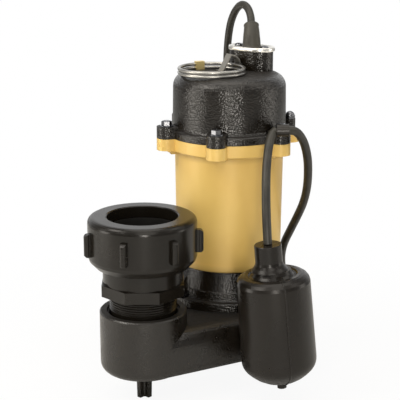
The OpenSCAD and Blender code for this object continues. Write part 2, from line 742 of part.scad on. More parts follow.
module discharge_adapter() {
  color(black_plastic) difference() {
    union() {
      translate([0, 0, 68]) cylinder(r = thread_r - 0.4, h = 36);
      // pipe thread, as ridges
      for (i = [0 : 6]) translate([0, 0, 86.2 + 2.2 * i]) revolve([
        [20, 0], [thread_r - 0.5, 0], [thread_r + 0.5, 0.8], [thread_r + 0.5, 1.1], [thread_r - 0.5, 1.9], [20, 1.9]
      ]);
      // octagon for the wrench
      translate([0, 0, collar_z]) rotate([0, 0, 20.7])
        cylinder(r = collar_half / cos(22.5), h = collar_top - collar_z, $fn = 8);
      revolve([
        [20, collar_top - 1.5], [36.2, collar_top - 1.5], [36.2, 126.6], [39.8, 131], [39.8, 151], [20, 151]
      ]);
    }
    translate([0, 0, 60]) cylinder(r = 25, h = 80);
    translate([0, 0, 124]) cylinder(r = pipe_r, h = 40);
  }
}

module pipe_gasket() {
  color(rubber) revolve([
    [pipe_r + 0.8, 151.1], [39, 151.1], [39.5, 153], [36, 161.5], [pipe_r + 0.8, 161.5]
  ]);
}

// Wings to turn the nut by, rounded at the tip and at the top
module nut_wing_set() {
  tip = nut_r + 5.7;
  intersection() {
    for (i = [0 : nut_wings - 1]) rotate([0, 0, wing_a + 360 * i / nut_wings]) {
      translate([nut_r - 4, -2.75, nut_z + 12]) cube([6.8, 5.5, 24]);
      translate([nut_r + 2.8, 0, nut_z + 12]) cylinder(r = 2.9, h = 24, $fn = 32);
    }
    revolve(concat(
      [[40, nut_z + 13], [tip - 1.5, nut_z + 13], [tip, nut_z + 14.5]],
      arc([tip - 4, nut_z + 30], 4, 0, 90, 4),
      [[40, nut_z + 34]]
    ));
  }
}

module union_nut() {
  top = nut_z + nut_h;
  color(black_plastic) difference() {
    union() {
      revolve(concat(
        [[30, nut_z + 0.4], [42.6, nut_z + 0.4], [48, nut_z + 6.2], [nut_r, nut_z + 9.4]],
        arc([nut_r - 5.5, top - 5.5], 5.5, 0, 90, 5),
        [[33, top], [32.2, top - 0.8], [30, top - 0.8]]
      ));
      nut_wing_set();
    }
    translate([0, 0, nut_z - 7]) cylinder(r = 40.2, h = 42);
    translate([0, 0, nut_z]) cylinder(r = 32, h = 60);
  }
}

// ---------- float and its tether ----------

// The clamp's loop holds the cord; its tab sits under the bolt on the lug at 270 degrees
module cable_clamp() {
  color(black_plastic) difference() {
    union() {
      translate(clamp_at) rotate([0, 0, clamp_turn]) rotate([0, 90, 0]) translate([0, 0, -clamp_w / 2])
        cylinder(r = switch_d / 2 + 1.5, h = clamp_w, $fn = 48);
      translate([motor_x, -lug_circle_r, lug_top + 0.05]) {
        cylinder(r = 7, h = 1.5);
        rotate([0, 0, tether_a + 2]) translate([0, -clamp_w / 2, 0]) cube([13, clamp_w, 1.5]);
      }
    }
    translate(clamp_at) rotate([0, 0, clamp_turn]) rotate([0, 90, 0]) translate([0, 0, -clamp_w])
      cylinder(r = switch_d / 2 + 0.15, h = 2 * clamp_w, $fn = 48);
    translate([motor_x, -lug_circle_r, lug_top - 5]) cylinder(r = 3.2, h = 20, $fn = 24);
  }
}

module tether_cord() {
  lean = sin(float_tilt);
  color(rubber) tube(
    tether_route, switch_d / 2, 8, -[cos(clamp_turn), sin(clamp_turn), 0],
    [lean * cos(clamp_turn), lean * sin(clamp_turn), -cos(float_tilt)]
  );
}

module on_float() {
  translate(float_at) rotate(a = float_tilt, v = [cos(tether_a), sin(tether_a), 0]) children();
}

// Outline of the float's shell, set in by g: from the flat under the neck over the rounded
// shoulder and down to the bowl
function float_outline(g) = concat(
  g > 0
    ? [[0, -23.4 - g], [13, -23.4 - g], [18.1, -31.2]]
    : [[0, -23.4], [16, -23.4], [17.4, -26.4], [19.2, -28.4], [20.8, -28.6]],
  arc([float_r - 9.6, -35.8], 8.6 - g, 105, 5, 5),
  [[float_r - g, -104]],
  arc([float_r - 14, -107.5], 14 - g, 0, -40, 4),
  arc([0, -90.8], 39.9 - g, -46, -90, 5)
);

module float_half(side) {
  intersection() {
    difference() {
      union() {
        translate(float_off) revolve(float_outline(0));
        translate(float_off) rotate([0, 0, seam_a]) translate([3.4, 0, -134.9]) cylinder(r = 4.2, h = 12, $fn = 32);
        translate(float_off) rotate([0, 0, seam_a]) translate([16.5, -2.6, -33]) cube([10.5, 5.2, 7.4]);
      }
      translate(float_off) revolve(float_outline(float_wall));
      translate([0, 0, -40]) cylinder(r = 10, h = 60);
    }
    translate(float_off) rotate([0, 0, seam_a]) translate([-60, side > 0 ? 0.02 : -60.02, -150]) cube([120, 60, 160]);
  }
}

module float_shell_left() {
  color(black_plastic) on_float() float_half(-1);
}

module float_shell_right() {
  color(black_plastic) on_float() float_half(1);
}

// Neck that grips the cord, with a skirt flared over the shells
module float_collar() {
  color(black_plastic) on_float() difference() {
    revolve([
      [0, -36], [9.9, -36], [9.9, -23.35], [16.6, -23.35], [16, -22.4], [14, -20.4], [12.6, -18], [12.2, -15.5],
      [12.2, -0.6], [11.6, 0], [0, 0]
    ]);
    translate([0, 0, -50]) cylinder(r = 4.05, h = 46);
  }
}

module float_weight() {
  color([0.35, 0.35, 0.34]) on_float() revolve([[11.5, -98], [24, -98], [24, -115], [18, -120.5], [11.5, -123.5]]);
}

module switch_capsule() {
  color([0.85, 0.85, 0.82]) on_float() difference() {
    translate([0, 0, -103]) cylinder(r = 11.2, h = 62);
    translate([0, 0, -101]) cylinder(r = 8.2, h = 44);
  }
}

module switch_ball() {
  color(steel) on_float() translate([0, 0, -92.8]) sphere(r = 7.9, $fn = 48);
}

// ---------- cords, coils and plugs ----------

power_coil_at = coil_centre(power_route, power_d, power_mean_r, power_start_a, power_turns);
switch_coil_at = coil_centre(switch_route, switch_d, switch_mean_r, switch_start_a, switch_turns);
power_coil_path = coil_path(power_coil_at, power_d, power_mean_r, power_start_a, power_turns);
switch_coil_path = coil_path(switch_coil_at, switch_d, switch_mean_r, switch_start_a, switch_turns);

module power_cord() {
  color(rubber) tube(
    power_route, power_d / 2, 8, relief_end, [cos(power_start_a + 90), sin(power_start_a + 90), 0]
  );
}

module power_coil() {
  echo(power_coil_gap = coil_clearance(power_coil_path, power_d), length = path_len(power_coil_path));
  color(rubber) tube(power_coil_path, power_d / 2, loop_sides);
}

module switch_cord() {
  color(rubber) tube(
    switch_route, switch_d / 2, 8, [cos(clamp_turn), sin(clamp_turn), 0],
    [cos(switch_start_a + 90), sin(switch_start_a + 90), 0]
  );
}

module switch_coil() {
  echo(switch_coil_gap = coil_clearance(switch_coil_path, switch_d), length = path_len(switch_coil_path));
  color(rubber) tube(switch_coil_path, switch_d / 2, loop_sides);
}

// Flat tie round all the turns of a coil
module coil_tie(at, mean_r, d, turns, a) {
  inner = mean_r - (d + coil_gap) * turns / 6 - d / 2 - 1;
  outer = mean_r + (d + coil_gap) * turns / 6 + d / 2 + 1;
  top = 3 * d + 2 * coil_gap + 0.6;
  translate([at[0], at[1], 0]) rotate([0, 0, a]) translate([0, 3, 0]) rotate([90, 0, 0]) linear_extrude(height = 6)
    difference() {
      translate([inner - 0.8, 0]) square([outer - inner + 1.6, top + 0.8]);
      translate([inner, -1]) square([outer - inner, top + 1]);
    }
}

module power_coil_tie() {
  color(black_plastic) coil_tie(power_coil_at, power_mean_r, power_d, power_turns, 72);
}

module switch_coil_tie() {
  color(black_plastic) coil_tie(switch_coil_at, switch_mean_r, switch_d, switch_turns, 144);
}

// Puts a plug at the end of a coil, its cord entry at the origin and its length along +X
module at_coil_end(path) {
  n = len(path);
  way = path[n - 1] - path[n - 2];
  translate(path[n - 1]) rotate([0, 0, atan2(way[1], way[0])]) children();
}

// A plug's side view, flat where it lies on the coil
module plug_body(len, half_w) {
  low = 0.1 - plug_rise;
  rotate([90, 0, 0]) translate([0, 0, -half_w]) linear_extrude(height = 2 * half_w)
    polygon([[0.05, -5.5], [16, -7], [22, low], [len, low], [len, 13], [22, 13], [16, 7], [0.05, 5.5]]);
}

module power_plug() {
  color(rubber) at_coil_end(power_coil_path) difference() {
    plug_body(44, 13);
    for (s = [-1, 1]) translate([-1, s > 0 ? 8 : -28, -30]) cube([18, 20, 60]);
  }
}

module blades(at_x) {
  for (s = [-1, 1]) translate([at_x, s * 6.35 - 0.75, -3.2]) cube([17, 1.5, 6.4]);
  translate([at_x, 0, 8]) rotate([0, 90, 0]) cylinder(r = 2.4, h = 19, $fn = 32);
}

module power_blades() {
  color(brass) at_coil_end(power_coil_path) blades(44.05);
}

// Piggyback plug: blades in front, and a socket in its back for the pump's own plug
module piggyback_plug() {
  color(rubber) at_coil_end(switch_coil_path) difference() {
    plug_body(34, 15);
    for (s = [-1, 1]) translate([-1, s > 0 ? 8 : -28, -30]) cube([18, 20, 60]);
    for (s = [-1, 1]) translate([26, s * 6.35 - 1, 5]) cube([7, 2, 20]);
    translate([26, 0, 0]) cylinder(r = 2.6, h = 30, $fn = 24);
  }
}

module piggyback_blades() {
  color(brass) at_coil_end(switch_coil_path) blades(34.05);
}

volute_housing();
suction_strainer();
strainer_screws();
volute_gasket();
seal_housing();
volute_bolts();
motor_housing();
lower_gasket();
cap_gasket();
motor_cap();
cap_bolts();
acorn_nut();
stator_core();
stator_windings();
lower_bearing();
upper_bearing();
bearing_bracket();
run_capacitor();
seal_seat();
seal_head();
motor_shaft();
rotor_core();
rotor_end_rings();
impeller();
impeller_nut();
cord_plate();
plate_gasket();
plate_screws();
strain_relief();
handle_strap();
lifting_ring();
ring_ferrule();
discharge_adapter();
pipe_gasket();
union_nut();
cable_clamp();
tether_cord();
float_shell_left();
float_shell_right();
float_collar();
float_weight();
switch_capsule();
switch_ball();
power_cord();
power_coil();
power_coil_tie();
power_plug();
power_blades();
switch_cord();
switch_coil();
switch_coil_tie();
piggyback_plug();
piggyback_blades();
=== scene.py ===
# %% [markdown]
# # A submersible sump pump
# The solids of the pump come ready made from its CAD model. This file loads them as a fixed
# frame, gives every surface its finish, winds the real cords, and makes the small things that
# are easier here than in CAD. Blender works in metres, with Z = 0 as the floor. Outlines and
# routes are written in millimetres, and `mm` turns them to metres.

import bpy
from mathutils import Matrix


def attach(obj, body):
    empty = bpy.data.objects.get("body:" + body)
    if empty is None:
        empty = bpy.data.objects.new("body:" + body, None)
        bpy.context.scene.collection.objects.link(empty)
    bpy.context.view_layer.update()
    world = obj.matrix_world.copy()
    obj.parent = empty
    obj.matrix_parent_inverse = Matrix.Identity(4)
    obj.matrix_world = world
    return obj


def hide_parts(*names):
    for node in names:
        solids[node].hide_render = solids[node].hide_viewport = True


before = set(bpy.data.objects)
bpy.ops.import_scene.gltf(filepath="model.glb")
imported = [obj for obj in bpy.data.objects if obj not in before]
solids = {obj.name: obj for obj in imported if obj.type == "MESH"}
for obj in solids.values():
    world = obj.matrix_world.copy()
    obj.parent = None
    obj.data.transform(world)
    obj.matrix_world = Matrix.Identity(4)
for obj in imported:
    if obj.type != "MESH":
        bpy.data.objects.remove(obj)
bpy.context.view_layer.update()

# %% Millimetres, directions and new objects
import math

import bpy
from mathutils import Matrix, Vector

MM = 0.001


def mm(*numbers):
    """A place or a step, given in millimetres."""
    return Vector(numbers) * MM


def around(radius, degrees):
    """A step of this length in this direction on the floor."""
    a = math.radians(degrees)
    return Vector((math.cos(a), math.sin(a), 0)) * radius


def in_scene(name, data):
    """A new object in the scene that shows this data."""
    thing = bpy.data.objects.new(name, data)
    bpy.context.scene.collection.objects.link(thing)
    return thing


print("10 steps towards 90 degrees lead to", [round(v, 3) for v in around(10, 90)])

# %% [markdown]
# ## The camera
# The pump is looked at from the side of its discharge, a little from above. A long lens keeps
# its uprights nearly parallel. A camera looks along its own -Z, so the direction of sight
# becomes its rotation through `to_track_quat`.

# %% Camera
eye = mm(-729, -725.5, 462)
heading, tilt = math.radians(42), math.radians(-15)
sight = Vector((math.cos(tilt) * math.cos(heading), math.cos(tilt) * math.sin(heading), math.sin(tilt)))
lens = bpy.data.cameras.new("pump_camera")
lens.lens = 108
lens.sensor_width = 36
camera = in_scene("pump_camera", lens)
camera.location = eye
camera.rotation_euler = sight.to_track_quat("-Z", "Y").to_euler()
bpy.context.scene.camera = camera
print("camera at", [round(v, 3) for v in eye])

# %% [markdown]
# ## The cords
# Two rubber cords leave this pump. The power cord climbs out of its sleeve on the cap, turns
# over and drops behind the motor. The float switch's cord runs from the clamp round the
# motor's side. Each ends in a neat coil of three layers behind the pump, and in its plug. A
# third, short stretch carries the float and swings with it.
#
# A cord could be a curve with a bevel, or a swept mesh. A curve is used, because it is the real
# thing's own description: one line, and a thickness round it. First come the few points that
# each free stretch passes through.

# %% Routes of the free stretches, in millimetres
power_route = [
    (154, 4, 328), (157.4, 7.4, 333.8), (161, 12.8, 339.9), (164.2, 19.5, 343.7),
    (166.6, 26.5, 344.3), (169, 33.5, 341), (171, 40, 334.5), (172.6, 45.5, 325), (173.6, 49, 313),
    (174.2, 51, 300), (174.5, 52, 285), (174.5, 52.5, 268), (174.5, 53, 250), (174.5, 53, 232),
    (174.5, 53, 214), (174.5, 53, 196), (174.5, 53, 178), (174.5, 53.5, 160), (174.5, 54, 142),
    (174.5, 55, 124), (174.5, 56, 106), (174.5, 57.5, 88), (174.8, 59.3, 72), (175.3, 61, 58),
    (176.2, 62.6, 45.7), (177.4, 65.2, 31.3), (179.4, 72, 18.7), (181.3, 83, 9.3),
    (182.8, 95.2, 4.6), (183.4, 107.6, 3.7)
]
tether_route = [
    (103.5, -68, 243.2), (99.6, -67, 240.4), (93.5, -69, 234.8), (86, -73, 226.5),
    (77.5, -78.5, 214.5), (70.3, -84, 200), (65, -88.8, 183), (61.6, -92.6, 166.6),
    (59.8, -95.3, 151.8)
]
switch_route = [
    (104.2, -68.8, 243.2), (111.5, -77, 243.2), (118.7, -80.3, 240.4), (128.5, -80.6, 229.8),
    (138.3, -77.8, 213.2), (147.5, -72, 194.4), (155.8, -64.5, 177.1), (163.5, -55, 161),
    (170.8, -43, 144.4), (177.5, -29.5, 126), (184.2, -16.8, 108), (191.6, -8, 90), (200.5, -3, 72),
    (211.5, 1.5, 54), (225, 5.7, 37), (239, 10.3, 22), (252.5, 15.8, 11), (263.5, 22, 5.5),
    (272.05, 28.8, 4)
]
for whose, route in (("power", power_route), ("tether", tether_route), ("switch", switch_route)):
    print(whose, "cord: from", route[0], "to", route[-1], "through", len(route), "points")

# %% [markdown]
# Straight lines between such points would show as corners, and a Bezier spline would need a
# handle at every point. A Catmull-Rom spline goes through the points themselves, and takes its
# direction at each from the two neighbours.

# %% Smooth way through points
def smooth_way(points, pieces):
    """Points along a Catmull-Rom spline through the given ones, `pieces` to each span."""
    ends = [points[0] * 2 - points[1]] + points + [points[-1] * 2 - points[-2]]
    way = []
    for a, b, c, d in zip(ends, ends[1:], ends[2:], ends[3:]):
        for i in range(pieces):
            t = i / pieces
            way.append(0.5 * (
                2 * b + (c - a) * t + (2 * a - 5 * b + 4 * c - d) * t ** 2
                + (3 * b - a - 3 * c + d) * t ** 3
            ))
    return way + [points[-1]]


def way_length(way):
    return sum((b - a).length for a, b in zip(way, way[1:]))


def in_metres(points):
    return [mm(*p) for p in points]


tether_way = smooth_way(in_metres(tether_route), 6)
print("the tether is", round(way_length(tether_way), 3), "m long")

# %% [markdown]
# A coil is wound as a hand would wind it: the cord spirals in, climbs one layer while it turns
# back, spirals out, climbs again and spirals in on top. At the end it climbs over its own
# inner turn and leads straight to the plug, which lies on the coil. One formula gives the
# radius and the height at every twenty-fourth of a turn.

# %% Coil of three layers
TURN_GAP = 0.55        # gap between neighbouring turns, in millimetres
PLUG_RISE = 7.4        # height of a plug's cord above the turns it lies on, in millimetres
STEPS_PER_TURN = 24
LAYERS = 3
CLIMB_TURNS = 0.5      # the cord takes this much of a turn to climb a layer
LAST_CLIMB = 0.3       # the climb to the plug is centred this many turns before the end


def climb(u, at):
    """Share of the climb about turn `at` that is done by turn u."""
    return min(1, max(0, (u - at + CLIMB_TURNS / 2) / CLIMB_TURNS))


def coil_points(end, diameter, mean_radius, start_a, turns):
    """The coil's points in millimetres. It starts where the free cord ends."""
    pitch = diameter + TURN_GAP
    layer = turns / LAYERS
    outer = mean_radius + pitch * layer / 2
    centre = Vector((end[0], end[1], 0)) + around(diameter, start_a + 90) - around(outer, start_a)
    steps = round(turns * STEPS_PER_TURN)
    last_rise = (diameter / 2 + PLUG_RISE) / pitch
    wound = []
    for i in range(steps + 1):
        u = i * turns / steps
        inwards = u - 2 * layer if u > 2 * layer else min(u, 2 * layer - u)
        rise = climb(u, layer) + climb(u, 2 * layer) + last_rise * climb(u, turns - LAST_CLIMB)
        wound.append(centre + around(outer - pitch * inwards, start_a + 360 * u)
                     + Vector((0, 0, diameter / 2 + pitch * rise)))
    return wound + [wound[-1] + around(diameter, start_a + 360 * turns + 90)]


power_coil = coil_points(power_route[-1], diameter=7.4, mean_radius=39, start_a=0, turns=7.8667)
switch_coil = coil_points(switch_route[-1], diameter=8, mean_radius=42, start_a=312, turns=7.2)
print("coils of", len(power_coil), "and", len(switch_coil), "points")

# %% [markdown]
# The way becomes a curve with a round bevel. Blender adds the points' own radius to the box of
# a curve, so the usual radius of 1 m would spoil the measure of the whole pump. Here the bevel
# is 1 m deep instead, and each point's radius brings it down to the cord's own.

# %% Wind the cords
def round_cord(name, way, diameter):
    """A curve of one open spline along the way, with a round section."""
    line = bpy.data.curves.new(name, "CURVE")
    line.dimensions = "3D"
    line.bevel_depth = 1
    line.bevel_resolution = 5
    line.use_fill_caps = True
    spline = line.splines.new("POLY")
    spline.points.add(len(way) - 1)
    for point, place in zip(spline.points, way):
        point.co = (*place, 1)
        point.radius = diameter / 2
    spline.use_smooth = True
    print(name, "is", round(way_length(way), 3), "m long")
    return in_scene(name, line)


power_way = smooth_way(in_metres(power_route + power_coil), 4)
power_cord = round_cord("power_cord_laid", power_way, 7.4 * MM)
switch_way = smooth_way(in_metres(switch_route + switch_coil), 4)
switch_cord = round_cord("switch_cord_laid", switch_way, 8 * MM)
tether_cord = round_cord("tether_laid", tether_way, 8 * MM)

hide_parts("power_cord", "power_coil")
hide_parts("switch_cord", "switch_coil")
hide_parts("tether_cord")
for cord, body in ((power_cord, "pump"), (switch_cord, "pump"), (tether_cord, "float")):
    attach(cord, body)

# %% [markdown]
# ## Finishes
# A finish is a small tree of shader nodes. One helper adds a node and sets or links its
# sockets, and a node given for a socket stands for its first output in use. Another helper
# turns the usual six-figure colour code into the linear numbers that a shader works with. Every
# pattern is laid out in object coordinates, in metres, so a grain of 2 mm is 2 mm on every
# piece. A noise seldom leaves the middle of its range, so that middle is what gets spread over
# a colour or a gloss.

# %% Helpers for finishes
MIDDLE = {"From_Min": 0.3, "From_Max": 0.7}        # the range where a noise mostly stays
COLOURS = {"data_type": "RGBA"}                    # makes a Mix node mix colours
FACTOR, COLOUR_A, COLOUR_B = 0, 6, 7               # its sockets, because their names repeat


def linear(code):
    """A six-figure sRGB colour code as linear red, green, blue and alpha."""
    out = []
    for i in (0, 2, 4):
        c = int(code[i:i + 2], 16) / 255
        out.append(c / 12.92 if c <= 0.04045 else ((c + 0.055) / 1.055) ** 2.4)
    return (*out, 1)


def feed(tree, node, sockets):
    """Sets or links a node's sockets, each by its name or its number."""
    for key, value in sockets.items():
        if isinstance(value, bpy.types.Node):
            value = next(output for output in value.outputs if output.enabled)
        if isinstance(value, bpy.types.NodeSocket):
            tree.links.new(value, node.inputs[key])
        else:
            node.inputs[key].default_value = value


def add_node(tree, kind, settings=(), numbered=(), **named):
    """Adds a node with its settings and sockets.

    A socket goes by its name, with _ for a space, or by number where names repeat.
    """
    node = tree.nodes.new(kind)
    for key, value in dict(settings).items():
        setattr(node, key, value)
    feed(tree, node, dict(numbered))
    feed(tree, node, {name.replace("_", " "): value for name, value in named.items()})
    return node


def new_finish(name, colour, roughness, metallic=0.0, ior=1.5):
    """A material with one surface shader. Returns it with its tree, shader and coordinates."""
    material = bpy.data.materials.new(name)
    material.use_nodes = True
    tree = material.node_tree
    shader = tree.nodes["Principled BSDF"]
    feed(tree, shader, {"Base Color": linear(colour), "Roughness": roughness,
                        "Metallic": metallic, "IOR": ior})
    spot = add_node(tree, "ShaderNodeTexCoord").outputs["Object"]
    return material, tree, shader, spot


finishes = {}
print("half grey 808080 is", round(linear("808080")[0], 3), "of full light")

# %% [markdown]
# The cap and the casting under the motor are cast iron with a thick, textured black enamel.
# The enamel draws itself into low pebbles a millimetre or two across, glossy on top. A Voronoi
# pattern with smooth cells gives the pebbles, and a noise moves their edges. It goes into the
# shader's bump, because real geometry for so many pebbles would be heavy and gain nothing. The
# pump's base has the same enamel, laid on thinner. Dust dulls the flat tops, so the roughness
# rises where a face looks straight up.

# %% Textured black enamel
EDGE_LUMPS = 260.0        # lumps in a metre of the noise that moves the pebbles' edges
EDGE_SHIFT = 0.5 * MM     # how far it moves them
WAVE_SIZE = 9 * MM        # slow waves under the pebbles, and patches of wear


def textured_enamel(name, pebble_mm, depth_mm, strength, gloss):
    """Pebbles of this size and depth, with this roughness on their tops."""
    material, tree, shader, spot = new_finish(name, "0B0A08", gloss)
    edge_noise = add_node(tree, "ShaderNodeTexNoise", Vector=spot, Scale=EDGE_LUMPS)
    shifted = add_node(tree, "ShaderNodeVectorMath", {"operation": "MULTIPLY_ADD"},
                       {0: edge_noise.outputs["Color"], 1: [EDGE_SHIFT] * 3, 2: spot})
    pebbles = add_node(tree, "ShaderNodeTexVoronoi", {"feature": "SMOOTH_F1"}, Vector=shifted,
                       Scale=1 / (pebble_mm * MM), Smoothness=0.3)
    waves = add_node(tree, "ShaderNodeTexNoise", Vector=spot, Scale=1 / WAVE_SIZE)
    low_waves = add_node(tree, "ShaderNodeMapRange", Value=waves, To_Max=0.1)
    height = add_node(tree, "ShaderNodeMath", {"operation": "MULTIPLY_ADD"},
                      {0: pebbles, 1: -1.0, 2: low_waves})
    bump = add_node(tree, "ShaderNodeBump", Height=height, Distance=depth_mm * MM, Strength=strength)
    wear_patches = add_node(tree, "ShaderNodeMapRange", Value=waves, **MIDDLE,
                            To_Min=gloss - 0.05, To_Max=gloss + 0.07)
    facing = add_node(tree, "ShaderNodeSeparateXYZ", Vector=spot.node.outputs["Normal"])
    dust = add_node(tree, "ShaderNodeMapRange", Value=facing.outputs["Z"], From_Min=0.85,
                    From_Max=0.99, To_Max=0.4)
    roughness = add_node(tree, "ShaderNodeMath", {"label": "dust on flat tops"},
                         {0: wear_patches, 1: dust})
    colour = add_node(tree, "ShaderNodeMix", COLOURS,
                      {FACTOR: waves, COLOUR_A: linear("0F0C08"), COLOUR_B: linear("19140D")})
    feed(tree, shader, {"Base Color": colour, "Normal": bump, "Roughness": roughness})
    return material


finishes["enamel"] = textured_enamel(
    "textured_black_enamel", pebble_mm=1.6, depth_mm=0.38, strength=0.85, gloss=0.16)
finishes["base_enamel"] = textured_enamel(
    "thin_black_enamel", pebble_mm=1.5, depth_mm=0.24, strength=0.75, gloss=0.3)
print("enamels:", [finishes[key].name for key in ("enamel", "base_enamel")])

# %% [markdown]
# The motor housing is a smooth aluminium casting under a gold enamel. Its colour drifts a
# little, and the enamel has a faint ripple that only shows in the light's reflection. A thin
# darker band of painted shade lies at its foot and under its flange.

# %% Gold enamel
# Heights above the floor, in metres, between which the painted shade comes and goes
AT_THE_FOOT = {"From_Min": 0.1057, "From_Max": 0.1125}
UNDER_THE_FLANGE = {"From_Min": 0.2095, "From_Max": 0.2145}
FLANGE_FACE = {"From_Min": 0.2146, "From_Max": 0.2155}


def gold_enamel():
    """Gold enamel with painted shade at the housing's foot and under its flange."""
    material, tree, shader, spot = new_finish("gold_enamel", "E3B968", 0.4, metallic=0.12)
    drift = add_node(tree, "ShaderNodeTexNoise", Vector=spot, Scale=1 / (70 * MM), Detail=3.0)
    drifted = add_node(tree, "ShaderNodeMapRange", Value=drift, **MIDDLE)
    clean = add_node(tree, "ShaderNodeMix", COLOURS, {
        FACTOR: drifted, COLOUR_A: linear("D4AE5B"), COLOUR_B: linear("E0BF6E")
    })
    height = add_node(tree, "ShaderNodeSeparateXYZ", Vector=spot).outputs["Z"]
    # Painted shade: the colour darkens toward 8F7236 in a band at the foot and under the flange
    foot = add_node(tree, "ShaderNodeMapRange", Value=height, **AT_THE_FOOT, To_Min=0.55, To_Max=0)
    flange = add_node(tree, "ShaderNodeMapRange", Value=height, **UNDER_THE_FLANGE, To_Max=0.35)
    below = add_node(tree, "ShaderNodeMapRange", Value=height, **FLANGE_FACE, To_Min=1, To_Max=0)
    painted_shade = add_node(tree, "ShaderNodeMath", {"operation": "MAXIMUM"}, {0: foot, 1: flange})
    patches = add_node(tree, "ShaderNodeMath", {"operation": "MULTIPLY"}, {0: painted_shade, 1: below})
    colour = add_node(tree, "ShaderNodeMix", COLOURS,
                      {FACTOR: patches, COLOUR_A: clean, COLOUR_B: linear("8F7236")})
    roughness = add_node(tree, "ShaderNodeMapRange", Value=drift, **MIDDLE, To_Min=0.4, To_Max=0.52)
    ripple = add_node(tree, "ShaderNodeTexNoise", Vector=spot, Scale=1 / (2.4 * MM))
    bump = add_node(tree, "ShaderNodeBump", Height=ripple, Distance=0.05 * MM, Strength=0.35)
    feed(tree, shader, {"Base Color": colour, "Normal": bump, "Roughness": roughness,
                        "Coat Weight": 0.15, "Coat Roughness": 0.18})
    return material


finishes["gold"] = gold_enamel()
print("gold enamel:", len(finishes["gold"].node_tree.nodes), "nodes")

# %% [markdown]
# The fittings, the clamp and the float are moulded in black plastic. Moulded plastic is never
# quite even: it carries the fine grain of its mould, and a slow drift in its gloss where it
# cooled. One function makes them all, and the fired ceramic and the grey inner mouldings too,
# each with its own gloss and grain.

# %% Moulded plastic
def moulded_plastic(name, colour, lighter, roughness, grain_mm, depth_mm=0.03, ior=1.4):
    """Roughness is a pair, between which it drifts."""
    material, tree, shader, spot = new_finish(name, colour, roughness[0], ior=ior)
    drift = add_node(tree, "ShaderNodeTexNoise", Vector=spot, Scale=1 / (36 * MM), Detail=3.0)
    mixed = add_node(tree, "ShaderNodeMix", COLOURS,
                     {FACTOR: drift, COLOUR_A: linear(colour), COLOUR_B: linear(lighter)})
    drifted = add_node(tree, "ShaderNodeMapRange", Value=drift, **MIDDLE, To_Min=roughness[0],
                       To_Max=roughness[1])
    grain = add_node(tree, "ShaderNodeTexNoise", Vector=spot, Scale=1 / (grain_mm * MM))
    bump = add_node(tree, "ShaderNodeBump", Height=grain, Distance=depth_mm * MM, Strength=0.6)
    feed(tree, shader, {"Base Color": mixed, "Normal": bump, "Roughness": drifted})
    return material


# Hard black pipe plastic: glossy from a polished mould
finishes["fitting_plastic"] = moulded_plastic(
    "moulded_fitting", "12100C", "1A1611", (0.2, 0.28), grain_mm=0.9, depth_mm=0.02, ior=1.36)
# The float's softer plastic: a little duller
finishes["float_plastic"] = moulded_plastic(
    "moulded_float", "13100D", "1B1712", (0.24, 0.32), grain_mm=0.8, depth_mm=0.02, ior=1.36)
# Nylon: a shade lighter, and waxy
finishes["clamp_plastic"] = moulded_plastic(
    "nylon_clamp", "1C1915", "27231D", (0.26, 0.34), grain_mm=0.8)
# Grey plastic of the impeller and the capacitor's case: matt
finishes["grey_plastic"] = moulded_plastic(
    "moulded_inner", "2E2E30", "38383A", (0.35, 0.45), grain_mm=0.8)
# Ceramic of the seal's fixed face: off-white and nearly polished
finishes["ceramic"] = moulded_plastic(
    "ceramic_face", "E4DFCF", "EDE9DC", (0.18, 0.22), grain_mm=1.5, depth_mm=0.005, ior=1.6)
print("moulded:", [key for key in finishes if "plastic" in key or key == "ceramic"])

# %% [markdown]
# Rubber is matt and slightly grey, and dust sits in its pores. Only its colour and a fine bump
# are needed: a gloss that varies would not show.

# %% Rubber
def rubber(name, colour, dusty, roughness):
    """Rubber of one colour, with dust of a lighter one."""
    material, tree, shader, spot = new_finish(name, colour, roughness, ior=1.45)
    dust = add_node(tree, "ShaderNodeTexNoise", Vector=spot, Scale=1 / (11 * MM), Detail=5.0)
    laid = add_node(tree, "ShaderNodeMapRange", Value=dust, From_Min=0.35, From_Max=0.75)
    mixed = add_node(tree, "ShaderNodeMix", COLOURS, {
        FACTOR: laid, COLOUR_A: linear(colour), COLOUR_B: linear(dusty)
    })
    pores = add_node(tree, "ShaderNodeTexNoise", Vector=spot, Scale=1 / (0.7 * MM))
    bump = add_node(tree, "ShaderNodeBump", Height=pores, Distance=0.08 * MM, Strength=0.5)
    feed(tree, shader, {"Base Color": mixed, "Normal": bump})
    return material


finishes["cord_rubber"] = rubber("cord_jacket", "24221D", "34322B", 0.42)
finishes["sleeve_rubber"] = rubber("sleeve_moulding", "36342E", "444138", 0.5)
finishes["seal_rubber"] = rubber("moulded_rubber", "131210", "1E1D1A", 0.55)
print("rubbers:", [key for key in finishes if "rubber" in key])

# %% [markdown]
# Metals are nearly bare here. Drawn wire, rolled strip and turned parts carry fine level lines,
# which are a noise squeezed along Z, so that each of its lumps becomes a streak. Cast and plated
# parts have the same noise as it is.

# %% Metals
DRAWN = (1, 1, 12)         # how many times finer the noise is along X, Y and Z
STACKED = (1, 1, 60)
EVEN = (1, 1, 1)


def bare_metal(name, colour, roughness, scratch, squeeze):
    """Scratch is how far the roughness varies to either side."""
    material, tree, shader, spot = new_finish(name, colour, roughness, metallic=1.0)
    squeezed = add_node(tree, "ShaderNodeMapping", Vector=spot, Scale=squeeze)
    lines = add_node(tree, "ShaderNodeTexNoise", Vector=squeezed, Scale=1 / (1.1 * MM), Detail=3.0)
    scratched = add_node(tree, "ShaderNodeMapRange", Value=lines, **MIDDLE,
                         To_Min=roughness - scratch, To_Max=roughness + scratch)
    bump = add_node(tree, "ShaderNodeBump", Height=lines, Distance=0.03 * MM, Strength=0.4)
    feed(tree, shader, {"Roughness": scratched, "Normal": bump})
    return material


